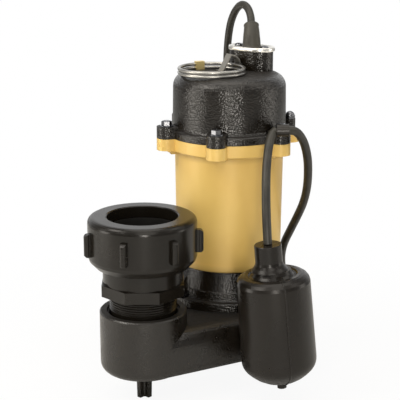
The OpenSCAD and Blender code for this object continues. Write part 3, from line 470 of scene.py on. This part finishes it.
metals = {
    "stainless": ("stainless_steel", "ABA9A4", 0.3, 0.08, DRAWN),        # satin, a little warm
    "satin_steel": ("satin_steel_strip", "B2AEA5", 0.36, 0.08, DRAWN),   # rolled, duller
    "bolt_steel": ("dark_plated_steel", "77787C", 0.22, 0.08, EVEN),     # dark, glints at edges
    "polished": ("polished_steel", "F2F0EA", 0.3, 0.06, DRAWN),          # pressed, nearly white
    "brass": ("pressed_brass", "F8E2A0", 0.45, 0.06, DRAWN),             # pale and soft
    "copper": ("lacquered_copper", "B4683A", 0.35, 0.08, DRAWN),         # brownish red
    "lamination": ("stacked_laminations", "7D7F82", 0.4, 0.1, STACKED),  # thin grey layers
    "aluminium": ("cast_aluminium", "B9BBBD", 0.45, 0.08, EVEN),         # light and matt
    "iron": ("bare_cast_iron", "5A5855", 0.6, 0.1, EVEN),                # dark and matt
}
for key, metal in metals.items():
    finishes[key] = bare_metal(*metal)
print(len(metals), "metals,", len(finishes), "finishes in all")

# %% [markdown]
# ## Who wears what
# Every solid takes one finish all over, because on the real pump each is one material. The
# list is short, so it is simply written down.

# %% Which finish each solid takes
worn_by = {
    "base_enamel": ["volute_housing"],
    "enamel": ["seal_housing", "motor_cap"],
    "gold": ["motor_housing"],
    "fitting_plastic": ["discharge_adapter", "union_nut", "power_coil_tie", "switch_coil_tie",
                        "suction_strainer"],
    "float_plastic": ["float_shell_left", "float_shell_right", "float_collar"],
    "clamp_plastic": ["cable_clamp"],
    "seal_rubber": ["volute_gasket", "lower_gasket", "cap_gasket", "plate_gasket", "pipe_gasket"],
    "satin_steel": ["handle_strap"],
    "stainless": ["strainer_screws", "lifting_ring", "motor_shaft", "seal_head",
                  "lower_bearing", "upper_bearing", "switch_ball"],
    "bolt_steel": ["volute_bolts", "acorn_nut"],
    "brass": ["ring_ferrule", "impeller_nut", "power_blades", "piggyback_blades"],
    "copper": ["stator_windings"],
    "lamination": ["stator_core", "rotor_core"],
    "aluminium": ["bearing_bracket", "rotor_end_rings"],
    "grey_plastic": ["impeller", "run_capacitor"],
    "ceramic": ["seal_seat", "switch_capsule"],
    "iron": ["float_weight"],
}


def wear(piece, finish):
    """Gives a piece one finish all over."""
    piece.data.materials.clear()
    piece.data.materials.append(finishes[finish])


for finish, names in worn_by.items():
    for name in names:
        wear(solids[name], finish)
for cord in (power_cord, switch_cord, tether_cord):
    wear(cord, "cord_rubber")
print("dressed", sum(len(names) for names in worn_by.values()), "solids")

# %% [markdown]
# ## Pieces made here
# Turned and moulded things are stacks of loops: rings of points, each joined to the next. One
# helper makes a mesh from a stack of loops and closes its two ends. Another makes the piece,
# smooths faces that meet at a shallow angle, and leaves true edges sharp.

# %% Stacks of loops
def loops_mesh(loops, closed_ends=True):
    """A mesh of loops of equal count, each joined to the next one."""
    n = len(loops[0])
    verts = [tuple(p) for loop in loops for p in loop]
    faces = []
    for k in range(len(loops) - 1):
        for i in range(n):
            j = (i + 1) % n
            faces.append((k * n + i, k * n + j, (k + 1) * n + j, (k + 1) * n + i))
    if closed_ends:
        faces.append(tuple(reversed(range(n))))
        faces.append(tuple(range((len(loops) - 1) * n, len(loops) * n)))
    return verts, faces


def smooth_piece(name, mesh, sharp):
    """A mesh object. Edges over `sharp` degrees stay sharp."""
    mesh.shade_smooth()
    mesh.set_sharp_from_angle(angle=math.radians(sharp))
    print(name, len(mesh.polygons), "faces")
    return in_scene(name, mesh)


def new_piece(name, verts, faces, finish, sharp=35):
    """A mesh object from its vertices and faces, in its finish."""
    mesh = bpy.data.meshes.new(name)
    mesh.from_pydata(verts, [], faces)
    mesh.update()
    piece = smooth_piece(name, mesh, sharp)
    wear(piece, finish)
    return piece


def turned(outline, sides=32):
    """A mesh turned round Z from (radius, height) pairs in millimetres."""
    return loops_mesh([[around(r, 360 * i / sides) * MM + mm(0, 0, z) for i in range(sides)]
                       for r, z in outline])


print("a stack of 3 squares has", len(turned([(1, 0), (1, 1), (1, 2)], 4)[1]), "faces")

# %% [markdown]
# The sleeve where the power cord leaves the cap keeps the cord from kinking. It is one rubber
# moulding: a wider foot, a tapered body, and a small lip where the cord comes out. It is swept
# along the cord's own way, with a radius for each point, and the frame of each section is
# carried along without twist.

# %% Sleeve
sleeve_route = [
    (150, 0, 306.9), (150.1, 0.1, 313), (150.5, 0.6, 317.5), (151.4, 1.4, 321.5),
    (152.5, 2.5, 325), (154, 4, 328)
]
BODY_RADIUS, TAPER = 8.8, 2.1              # at the foot, and how much less it is at the tip
FOOT_EXTRA, FOOT_END = 1.1, 0.07           # added at the very foot, gone at this share of the way
LIP_EXTRA, LIP_START, LIP_END = 0.45, 0.9, 0.985
TIP_ROUND = ((0.5, 6.1), (0.6, 3.8))       # the rounded mouth: steps past the tip, and radii


def swept(way, radii, sides=32):
    """A round mesh along a way, in frames that don't twist. The radii are in millimetres."""
    loops = []
    ahead = [(way[min(i + 1, len(way) - 1)] - way[max(i - 1, 0)]).normalized() for i in range(len(way))]
    across = ahead[0].cross(Vector((0, 1, 0))).normalized()
    for point, direction, radius in zip(way, ahead, radii):
        across = (across - direction * across.dot(direction)).normalized()
        up = direction.cross(across)
        loops.append([
            point + (across * math.cos(a) + up * math.sin(a)) * radius * MM
            for a in (2 * math.pi * i / sides for i in range(sides))
        ])
    return loops_mesh(loops)


sleeve_way = smooth_way(in_metres(sleeve_route), 6)
sleeve_radii = []
for i in range(len(sleeve_way)):
    t = i / (len(sleeve_way) - 1)
    foot = FOOT_EXTRA * max(0, 1 - t / FOOT_END)
    lip = LIP_EXTRA if LIP_START < t < LIP_END else 0
    sleeve_radii.append(BODY_RADIUS - TAPER * t + foot + lip)
tip = sleeve_way[-1]
outwards = (sleeve_way[-1] - sleeve_way[-2]).normalized()
sleeve_way += [tip + outwards * step * MM for step, radius in TIP_ROUND]
sleeve_radii += [radius for step, radius in TIP_ROUND]
sleeve = new_piece("cord_sleeve", *swept(sleeve_way, sleeve_radii), "sleeve_rubber", 50)
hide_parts("strain_relief")
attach(sleeve, "pump")

# %% [markdown]
# The plate over the cord's entry is a bright pressing. Its edge is rolled up into a rim with a
# short skirt, and the middle is dished. The loops start and end as the round hole for the cord,
# and are ovals in between.

# %% Pressed plate
PLATE_AT = mm(150, 0, 305.8)
OVAL_POINTS = 48


def oval_loop(radius, half, height):
    """An oval whose straight sides run along Y, `half` to either side of the middle."""
    loop = []
    for i in range(OVAL_POINTS):
        a = 360 * (i + 0.5) / OVAL_POINTS
        shift = half if math.sin(math.radians(a)) > 0 else -half
        loop.append(PLATE_AT + around(radius, a) * MM + mm(0, shift, height))
    return loop


hole_below, hole_above = (7.1, 0, 0), (7.1, 0, 1.6)
skirt = [(13.75, 10, 0), (13.8, 10, -0.9), (14.1, 10, -1), (14.3, 10, -0.7)]
rim = [(14.3, 10, 1.7), (14.1, 10, 2.5), (13.5, 10, 2.95), (12.8, 10, 3), (12.1, 10, 2.7)]
dish = [(11.5, 10, 2.2), (10.8, 10, 1.8), (9.8, 9.8, 1.6), (8.6, 2, 1.6)]
plate_steps = [hole_below, *skirt, *rim, *dish, hole_above]
verts, faces = loops_mesh([oval_loop(*step) for step in plate_steps], closed_ends=False)
n, last = OVAL_POINTS, (len(plate_steps) - 1) * OVAL_POINTS
faces += [(last + i, last + (i + 1) % n, (i + 1) % n, i) for i in range(n)]
plate = new_piece("pressed_plate", verts, faces, "polished", 40)
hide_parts("cord_plate")
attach(plate, "pump")

# %% [markdown]
# ## Fasteners
# Six lugs join the cap to the motor housing. Five take a flanged hexagon bolt, and the sixth a
# dome nut. The bolts are all alike, so one is modelled, and Geometry Nodes set it on the lugs:
# the tree makes a circle of six points, leaves one out, lifts the one that holds the cable
# clamp, and gives each bolt its own turn, because no fitter stops them all at one angle.

# %% A tree with named inputs
def new_tree(name, sizes):
    """A Geometry Nodes tree with one number input for each size."""
    tree = bpy.data.node_groups.new(name, "GeometryNodeTree")
    tree.interface.new_socket("Geometry", in_out="INPUT", socket_type="NodeSocketGeometry")
    for label, value in sizes.items():
        socket = tree.interface.new_socket(label, in_out="INPUT", socket_type="NodeSocketFloat")
        socket.default_value = value
    tree.interface.new_socket("Geometry", in_out="OUTPUT", socket_type="NodeSocketGeometry")
    given = tree.nodes.new("NodeGroupInput")
    result = tree.nodes.new("NodeGroupOutput")
    print("tree", name, "takes", ", ".join(sizes))
    return tree, given.outputs, result


def finish_tree(tree, instances, finish, result):
    """Realizes the instances and gives them their finish."""
    real = add_node(tree, "GeometryNodeRealizeInstances", Geometry=instances)
    painted = add_node(tree, "GeometryNodeSetMaterial", Geometry=real, Material=finishes[finish])
    feed(tree, result, {"Geometry": painted})


def grown(piece, tree, sizes, name, sharp):
    """Runs the tree on a piece, and returns the result as a plain mesh object."""
    maker = piece.modifiers.new("maker", "NODES")
    maker.node_group = tree
    for item in tree.interface.items_tree:
        if item.in_out == "INPUT" and item.name in sizes:
            maker[item.identifier] = sizes[item.name]
    bpy.context.view_layer.update()
    seen = piece.evaluated_get(bpy.context.evaluated_depsgraph_get())
    mesh = bpy.data.meshes.new_from_object(seen)
    mesh.name = name
    result = smooth_piece(name, mesh, sharp)
    piece.modifiers.remove(maker)
    bpy.data.objects.remove(piece)
    return result


# %% Bolts on a circle
FULL_TURN = 6.283                      # radians
RANDOM_MAX = 3                         # a Random Value node's socket for its largest number


def on_a_circle(finish):
    """A tree that sets a piece on some of the points of a circle, each with its own turn."""
    sizes = {
        "Circle Radius": 61.7 * MM, "First Angle": math.radians(30), "Places": 6, "Filled": 5,
        "Lifted": 4, "Lift": 1.6 * MM, "Centre X": 118 * MM, "Seat Height": 0.2395
    }
    tree, given, result = new_tree("bolts_on_a_circle", sizes)
    points = add_node(tree, "GeometryNodeMeshCircle", Radius=given["Circle Radius"],
                      Vertices=given["Places"])
    turn = add_node(tree, "ShaderNodeCombineXYZ", Z=given["First Angle"])
    centre = add_node(tree, "ShaderNodeCombineXYZ", X=given["Centre X"], Z=given["Seat Height"])
    placed = add_node(tree, "GeometryNodeTransform", Geometry=points, Translation=centre, Rotation=turn)
    index = add_node(tree, "GeometryNodeInputIndex")
    lifted = add_node(tree, "FunctionNodeCompare", {"data_type": "FLOAT", "operation": "EQUAL"},
                      {0: index, 1: given["Lifted"]})
    lift = add_node(tree, "ShaderNodeCombineXYZ", Z=given["Lift"])
    raised = add_node(tree, "GeometryNodeSetPosition", Geometry=placed, Selection=lifted, Offset=lift)
    filled = add_node(tree, "FunctionNodeCompare", {"data_type": "FLOAT", "operation": "LESS_THAN"},
                      {0: index, 1: given["Filled"]})
    random_turn = add_node(tree, "FunctionNodeRandomValue", {"data_type": "FLOAT"},
                           {RANDOM_MAX: FULL_TURN}, Seed=5)
    spin = add_node(tree, "ShaderNodeCombineXYZ", Z=random_turn)
    copies = add_node(tree, "GeometryNodeInstanceOnPoints", Points=raised, Selection=filled,
                      Instance=given["Geometry"], Rotation=spin)
    finish_tree(tree, copies, finish, result)
    return tree, sizes


def joined(*parts):
    """Joins several lists of vertices and faces into one."""
    verts, faces = [], []
    for v, f in parts:
        faces += [tuple(i + len(verts) for i in face) for face in f]
        verts += v
    return verts, faces


flange = turned([(3.4, -0.2), (6.3, 0), (6.4, 0.3), (6.2, 0.9), (4.6, 1.3), (3, 1.3)])
hexagon = turned([(4.9, 1.0), (4.9, 4.5), (4.55, 5.0), (4.1, 5.15)], sides=6)
raised_top = turned([(3.9, 5.1), (3.7, 5.2), (2.6, 5.2), (2.4, 5.05)], sides=24)
shank = turned([(2.9, -15), (2.95, -14.4), (2.95, 0.5)], sides=16)
one_bolt = new_piece("one_bolt", *joined(flange, hexagon, raised_top, shank), "bolt_steel", 30)
bolts = grown(one_bolt, *on_a_circle("bolt_steel"), "flange_bolts", 30)
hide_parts("cap_bolts")
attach(bolts, "pump")

# %% [markdown]
# Rows are the other pattern on this pump: two screws in the plate, and the bending ribs on the
# plugs. One tree makes a row of copies of whatever it is given, a fixed step apart.

# %% Copies in a row
def in_a_row(finish, count, step):
    """A tree that repeats a piece so many times, each one step from the last."""
    sizes = {"Count": count, "Step X": step[0], "Step Y": step[1], "Step Z": step[2]}
    tree, given, result = new_tree("copies_in_a_row", sizes)
    step_along = add_node(tree, "ShaderNodeCombineXYZ", X=given["Step X"], Y=given["Step Y"],
                          Z=given["Step Z"])
    points = add_node(tree, "GeometryNodeMeshLine", Offset=step_along, Count=given["Count"])
    copies = add_node(tree, "GeometryNodeInstanceOnPoints", Points=points, Instance=given["Geometry"])
    finish_tree(tree, copies, finish, result)
    return tree, sizes


# %% Two screws in the plate
DOME = ((1, 0), (1, 0.35), (0.86, 0.72), (0.55, 0.94), (0.2, 1))    # shares of radius and height
HALF_TURN_STEPS = 12
FIRST_SCREW = mm(150, -15.8, 307.4)
SCREW_SPACING = 31.6 * MM


def slotted_head(radius, height, slot):
    """A domed head with a straight slot: two half domes, the slot's floor and the shank."""
    parts = []
    for side in (1, -1):
        loops = []
        for out, up in DOME:
            loop = []
            for i in range(HALF_TURN_STEPS + 1):
                p = around(max(radius * out, slot), 180 * i / HALF_TURN_STEPS)
                loop.append(mm(p.x, side * max(p.y, slot / 2), height * up))
            loops.append(loop if side > 0 else loop[::-1])
        parts.append(loops_mesh(loops))
    slot_floor = turned([(radius - 0.1, 0), (radius - 0.1, height * 0.4)], 24)
    return joined(*parts, slot_floor, turned([(2.0, -10), (2.0, 0.2)], 16))


verts, faces = slotted_head(radius=4, height=2.6, slot=0.8)
verts = [tuple(Vector(v) + FIRST_SCREW) for v in verts]
one_screw = new_piece("one_screw", verts, faces, "bolt_steel")
row_of_two = in_a_row("bolt_steel", 2, (0, SCREW_SPACING, 0))
screws = grown(one_screw, *row_of_two, "plate_screws_slotted", 30)
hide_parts("plate_screws")
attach(screws, "pump")

# %% [markdown]
# ## Plugs
# A plug is a soft moulding round stiff blades. Its section grows from the round cord to a
# rounded block, and its neck carries a row of bending ribs. Each section is a superellipse,
# which is the curve between an oval and a rectangle, so one formula makes the whole body.

# %% Plug bodies
SECTION_POINTS = 40


def rounded_section(x, half_width, low, high, squareness):
    """A section of a plug at x along it. Squareness 2 is an oval, and more is squarer."""
    loop = []
    for i in range(SECTION_POINTS):
        a = 2 * math.pi * i / SECTION_POINTS
        c, s = math.cos(a), math.sin(a)
        y = half_width * math.copysign(abs(c) ** (2 / squareness), c)
        rise = (high - low) / 2 * math.copysign(abs(s) ** (2 / squareness), s)
        loop.append(mm(x, y, (high + low) / 2 + rise))
    return loop


def moved(parts, matrix):
    """Vertices and faces, with the vertices moved by a matrix."""
    verts, faces = parts
    return [tuple(matrix @ Vector(v)) for v in verts], faces


def coil_end(points):
    """The place and turn of whatever sits on the end of a coil."""
    way = points[-1] - points[-2]
    return Matrix.Translation(points[-1] * MM) @ Matrix.Rotation(math.atan2(way.y, way.x), 4, "Z")


def plug_on(points, name, sections, solid):
    """The plug on the end of a coil, from its sections in millimetres."""
    body = loops_mesh([rounded_section(*s) for s in sections])
    plug = new_piece(name, *moved(body, coil_end(points)), "seal_rubber", 40)
    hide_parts(solid)
    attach(plug, "pump")
    return plug


# Each section: its place along the plug, half its width, its low and high side, squareness
power_sections = [
    (0.4, 4.4, -4.4, 4.4, 2), (0.6, 5.3, -5.3, 5.3, 2), (14, 6.6, -6.4, 6.6, 2.2),
    (18, 8.4, -6.9, 8.6, 2.6), (22, 11.6, -7.2, 11.6, 3.2), (26, 12.8, -7.3, 12.8, 4),
    (34, 12.4, -7.3, 12.6, 4.5), (41, 12.8, -7.3, 12.9, 4.5), (43.2, 12.8, -7.3, 12.9, 4.5),
    (43.9, 12.2, -6.8, 12.4, 4.5)
]
piggyback_sections = [
    (0.4, 4.6, -4.6, 4.6, 2), (0.6, 5.4, -5.4, 5.4, 2), (12, 6.6, -6.4, 6.6, 2.2),
    (16, 9, -7, 9, 2.8), (19, 13.2, -7.3, 12.2, 4), (22, 14.8, -7.3, 12.9, 5),
    (32.6, 14.8, -7.3, 12.9, 5), (33.7, 14.2, -6.8, 12.4, 5)
]
for whose, sections in (("pump's", power_sections), ("piggyback", piggyback_sections)):
    print("the", whose, "plug is", round(sections[-1][0] - sections[0][0], 1), "mm long")

# %% [markdown]
# The ribs round a plug's neck let it bend without a kink. One rib is made, a low ring with a
# rounded edge, and the tree for rows repeats it along the neck. With that, both plugs are made.

# %% Plugs and the ribs on their necks
RIB_OUTLINE = ((-0.9, -1.6), (-0.7, -0.3), (0, 0), (0.7, -0.3), (0.9, -1.6))   # along, outwards
RIB_SIDES = 32
FIRST_RIB = 3.2            # from the coil's end to the first rib's middle, in millimetres
RIB_STEP = 3.1


def neck_ribs(points, name, count, radius):
    """Bending ribs round a plug's neck, in a row along it."""
    matrix = coil_end(points)
    ring = []
    for along, outwards in RIB_OUTLINE:
        r = radius + outwards
        turns = [2 * math.pi * i / RIB_SIDES for i in range(RIB_SIDES)]
        ring.append([mm(FIRST_RIB + along, r * math.cos(a), r * math.sin(a)) for a in turns])
    rib = new_piece("one_rib", *moved(loops_mesh(ring), matrix), "seal_rubber", 60)
    step = matrix.to_3x3() @ mm(RIB_STEP, 0, 0)
    ribs = grown(rib, *in_a_row("seal_rubber", count, step), name, 60)
    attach(ribs, "pump")
    return ribs


power_plug = plug_on(power_coil, "power_plug_moulded", power_sections, "power_plug")
power_ribs = neck_ribs(power_coil, "power_plug_ribs", count=4, radius=6.7)
switch_plug = plug_on(switch_coil, "piggyback_plug_moulded", piggyback_sections, "piggyback_plug")
switch_ribs = neck_ribs(switch_coil, "piggyback_plug_ribs", count=3, radius=6.8)

# %% [markdown]
# The piggyback plug has a socket in its back, where the pump's own plug goes. The entries for
# its two flat blades are painted shade: two thin dark blocks laid on a slightly raised face.

# %% Socket face of the piggyback plug
BLADE_SPACING = 12.7       # from blade to blade, in millimetres


def block(x0, x1, y0, y1, z0, z1, ease=0.4):
    """A block whose four top edges are eased."""
    def rect(inset, z):
        return [mm(x0 + inset, y0 + inset, z), mm(x1 - inset, y0 + inset, z),
                mm(x1 - inset, y1 - inset, z), mm(x0 + inset, y1 - inset, z)]
    return loops_mesh([rect(0, z0), rect(0, z1 - ease), rect(ease, z1)])


matrix = coil_end(switch_coil)
raised_face = block(x0=23.5, x1=33, y0=-11.5, y1=11.5, z0=12.4, z1=13.4)
socket_face = new_piece("socket_face", *moved(raised_face, matrix), "clamp_plastic", 30)
# Painted shade: thin blocks in the dark iron finish stand where the blade openings would be
slots = joined(*(block(x0=25.5, x1=32, y0=y - 1, y1=y + 1, z0=13.2, z1=13.5, ease=0.1)
                 for y in (-BLADE_SPACING / 2, BLADE_SPACING / 2)))
painted_slot_shade = new_piece("painted_slot_shade", *moved(slots, matrix), "iron", 30)
for piece in (socket_face, painted_slot_shade):
    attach(piece, "pump")

# %% [markdown]
# Everything that sits on a cord is made now.

print("cords of", [round(way_length(way), 3) for way in (power_way, switch_way, tether_way)], "m")

# %% [markdown]
# ## The float's seam
# The float is welded from two halves. The weld leaves a thin bead all round, in one upright
# plane. The bead follows the float's outline, so its line is the outline itself: a shoulder
# arc, a straight side and the bowl, on one side and back up the other.

# %% Weld bead
FLOAT_AT = mm(59.8, -95.3, 151.8)
FLOAT_TURN = Matrix.Rotation(math.radians(4.8), 4, around(1, 222))    # the float leans a little
SEAM_HEADING = 236.4                       # the seam's plane runs this way on the floor
SEAM_SHIFT = Vector((1.74, -1.93, 0))      # and beside the float's axis, in millimetres
BEAD_RADIUS = 0.75


def arc(centre_r, centre_z, radius, a0, a1, count):
    """Points of an arc in the plane of radius and height."""
    angles = [math.radians(a0 + (a1 - a0) * i / count) for i in range(count + 1)]
    return [(centre_r + radius * math.cos(a), centre_z + radius * math.sin(a)) for a in angles]


neck = [(17.6, -26.6), (19.3, -28.3), (20.8, -28.5)]
shoulder = arc(24.3, -35.8, 8.6, 100, 5, 8)
straight = [(33.5, -60), (33.7, -85)]
bowl = arc(19.9, -107.5, 14, 0, -40, 6) + arc(0, -90.8, 39.9, -46, -80, 6)
side = neck + shoulder + straight + bowl
profile = side + [(-r, z) for r, z in reversed(side)]
bead_way = []
for r, z in profile:
    local = around(r, SEAM_HEADING) + SEAM_SHIFT + Vector((0, 0, z))
    bead_way.append(FLOAT_AT + FLOAT_TURN @ (local * MM))
bead_mesh = swept(bead_way, [BEAD_RADIUS] * len(bead_way), 10)
bead = new_piece("float_weld_bead", *bead_mesh, "float_plastic", 60)
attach(bead, "float")

# %% [markdown]
# ## The room
# Small goods are lit from large, soft sources. Three upright strips stand round the pump and
# draw the bands of light down its black cap: one to the left, a narrow one behind the camera
# and one to the right. They are low, so that the flat top of the cap doesn't mirror them. Three
# wide lamps high above them fill the shadows, and a square one hangs over the top. All seven
# are slightly warm, like studio lamps.

# %% Lamps
MIDDLE_OF_PUMP = mm(95, 0, 170)
RIGHT_WAY = Vector((0.669, -0.743, 0))         # as seen from the camera
NEAR_WAY = Vector((-0.743, -0.669, 0))         # towards the camera, along the floor
WARM_WHITE = (1.0, 0.945, 0.86)


def soft_lamp(name, at, size, power):
    """A rectangular lamp that faces the pump. Its size is in metres and its power in watts."""
    lamp = bpy.data.lights.new(name, "AREA")
    lamp.shape = "RECTANGLE"
    lamp.size, lamp.size_y = size
    lamp.energy = power
    lamp.color = WARM_WHITE
    holder = in_scene(name, lamp)
    holder.location = at
    holder.rotation_euler = (MIDDLE_OF_PUMP - at).to_track_quat("-Z", "Y").to_euler()
    print(name, power, "W")


def beside(degrees, distance, height_mm):
    """A place round the pump, counted to the right from the camera's direction."""
    a = math.radians(degrees)
    outwards = RIGHT_WAY * math.sin(a) + NEAR_WAY * math.cos(a)
    return MIDDLE_OF_PUMP + outwards * distance + mm(0, 0, height_mm)


soft_lamp("left_strip", beside(-76, 1.0, 80), (0.36, 0.5), 2.9)
soft_lamp("right_strip", beside(88, 1.0, 80), (0.36, 0.5), 1.3)
soft_lamp("front_strip", beside(4, 1.35, 80), (0.16, 0.48), 5)
soft_lamp("left_fill", beside(-62, 0.85, 850), (0.8, 0.5), 7.5)
soft_lamp("front_fill", beside(8, 1.0, 950), (0.8, 0.5), 3.6)
soft_lamp("right_fill", beside(80, 0.85, 850), (0.8, 0.5), 2)
soft_lamp("top_lamp", MIDDLE_OF_PUMP + mm(0, 0, 1100), (0.9, 0.9), 5)

# %% [markdown]
# The floor takes the pump's shadow near it, and turns to even white further off, by its own
# distance from the pump. It does so for the camera only, so it lights nothing.

# %% Floor
FLOOR_HALF = 8             # half of its side, in metres
PUMP_SPOT = (0.1, 0, 0)    # where the pump stands on it
SHADE_ENDS = {"From_Min": 0.16, "From_Max": 0.42}    # metres from there, between which it fades


def floor_sheet():
    """A square floor that turns to pure white away from the pump."""
    mesh = bpy.data.meshes.new("floor")
    corners = [(-1, -1), (1, -1), (1, 1), (-1, 1)]
    mesh.from_pydata([(x * FLOOR_HALF, y * FLOOR_HALF, 0) for x, y in corners], [], [(0, 1, 2, 3)])
    floor = in_scene("floor", mesh)
    material, tree, shader, spot = new_finish("pale_floor", "F4F4F2", 0.8)
    mesh.materials.append(material)
    grain = add_node(tree, "ShaderNodeTexNoise", Vector=spot, Scale=1 / (3.3 * MM))
    roughness = add_node(tree, "ShaderNodeMapRange", Value=grain, To_Min=0.78, To_Max=0.82)
    feed(tree, shader, {"Roughness": roughness})
    centred = add_node(tree, "ShaderNodeMapping", Vector=spot, Location=[-v for v in PUMP_SPOT])
    distance = add_node(tree, "ShaderNodeVectorMath", {"operation": "LENGTH"}, {0: centred})
    far = add_node(tree, "ShaderNodeMapRange", Value=distance, **SHADE_ENDS, To_Min=0.92, To_Max=1.0)
    rays = add_node(tree, "ShaderNodeLightPath")
    share = add_node(tree, "ShaderNodeMath", {"operation": "MULTIPLY"},
                     {0: rays.outputs["Is Camera Ray"], 1: far})
    white = add_node(tree, "ShaderNodeEmission", Color=(1, 1, 1, 1), Strength=1.0)
    mix = add_node(tree, "ShaderNodeMixShader", numbered={0: share, 1: shader, 2: white})
    feed(tree, tree.nodes["Material Output"], {"Surface": mix})
    return floor


floor_sheet()
print("floor of", 2 * FLOOR_HALF, "m each way")

# %% [markdown]
# What the camera sees of the world behind the pump is the same white. For gloss it is a white
# sweep behind the pump, as seen from the camera, and much duller beside it. That keeps the black
# plastics black and still draws bright light on their flat tops. A world's shader can tell the
# two apart, because it is told what kind of ray has reached it and from which way.

# %% White surroundings
AMBIENT = 0.24                                      # level of the light from all round
SWEEP_EDGE = {"From_Min": 0.5, "From_Max": 0.85}    # cosines to the camera's way, at its edges
BESIDE_SWEEP = 0.2                                  # gloss beside it: share from ambient to white

world = bpy.data.worlds.new("white_room")
bpy.context.scene.world = world
world.use_nodes = True
sky = world.node_tree
rays = add_node(sky, "ShaderNodeLightPath").outputs
direct = add_node(sky, "ShaderNodeMath", {"operation": "MAXIMUM"},
                  {0: rays["Is Camera Ray"], 1: rays["Is Transmission Ray"]})
ray_way = add_node(sky, "ShaderNodeTexCoord").outputs["Generated"]
facing = add_node(sky, "ShaderNodeVectorMath", {"operation": "DOT_PRODUCT"}, {0: ray_way, 1: -NEAR_WAY})
sweep = add_node(sky, "ShaderNodeMapRange", Value=facing, **SWEEP_EDGE, To_Min=BESIDE_SWEEP, To_Max=1.0)
glossy = add_node(sky, "ShaderNodeMath", {"operation": "MULTIPLY"},
                  {0: rays["Is Glossy Ray"], 1: sweep})
seen = add_node(sky, "ShaderNodeMath", {"operation": "MAXIMUM"}, {0: direct, 1: glossy})
level = add_node(sky, "ShaderNodeMapRange", Value=seen, To_Min=AMBIENT)
feed(sky, sky.nodes["Background"], {"Color": (1, 1, 1, 1), "Strength": level})
bpy.context.scene.view_settings.view_transform = "Standard"
print("world of", len(sky.nodes), "nodes")
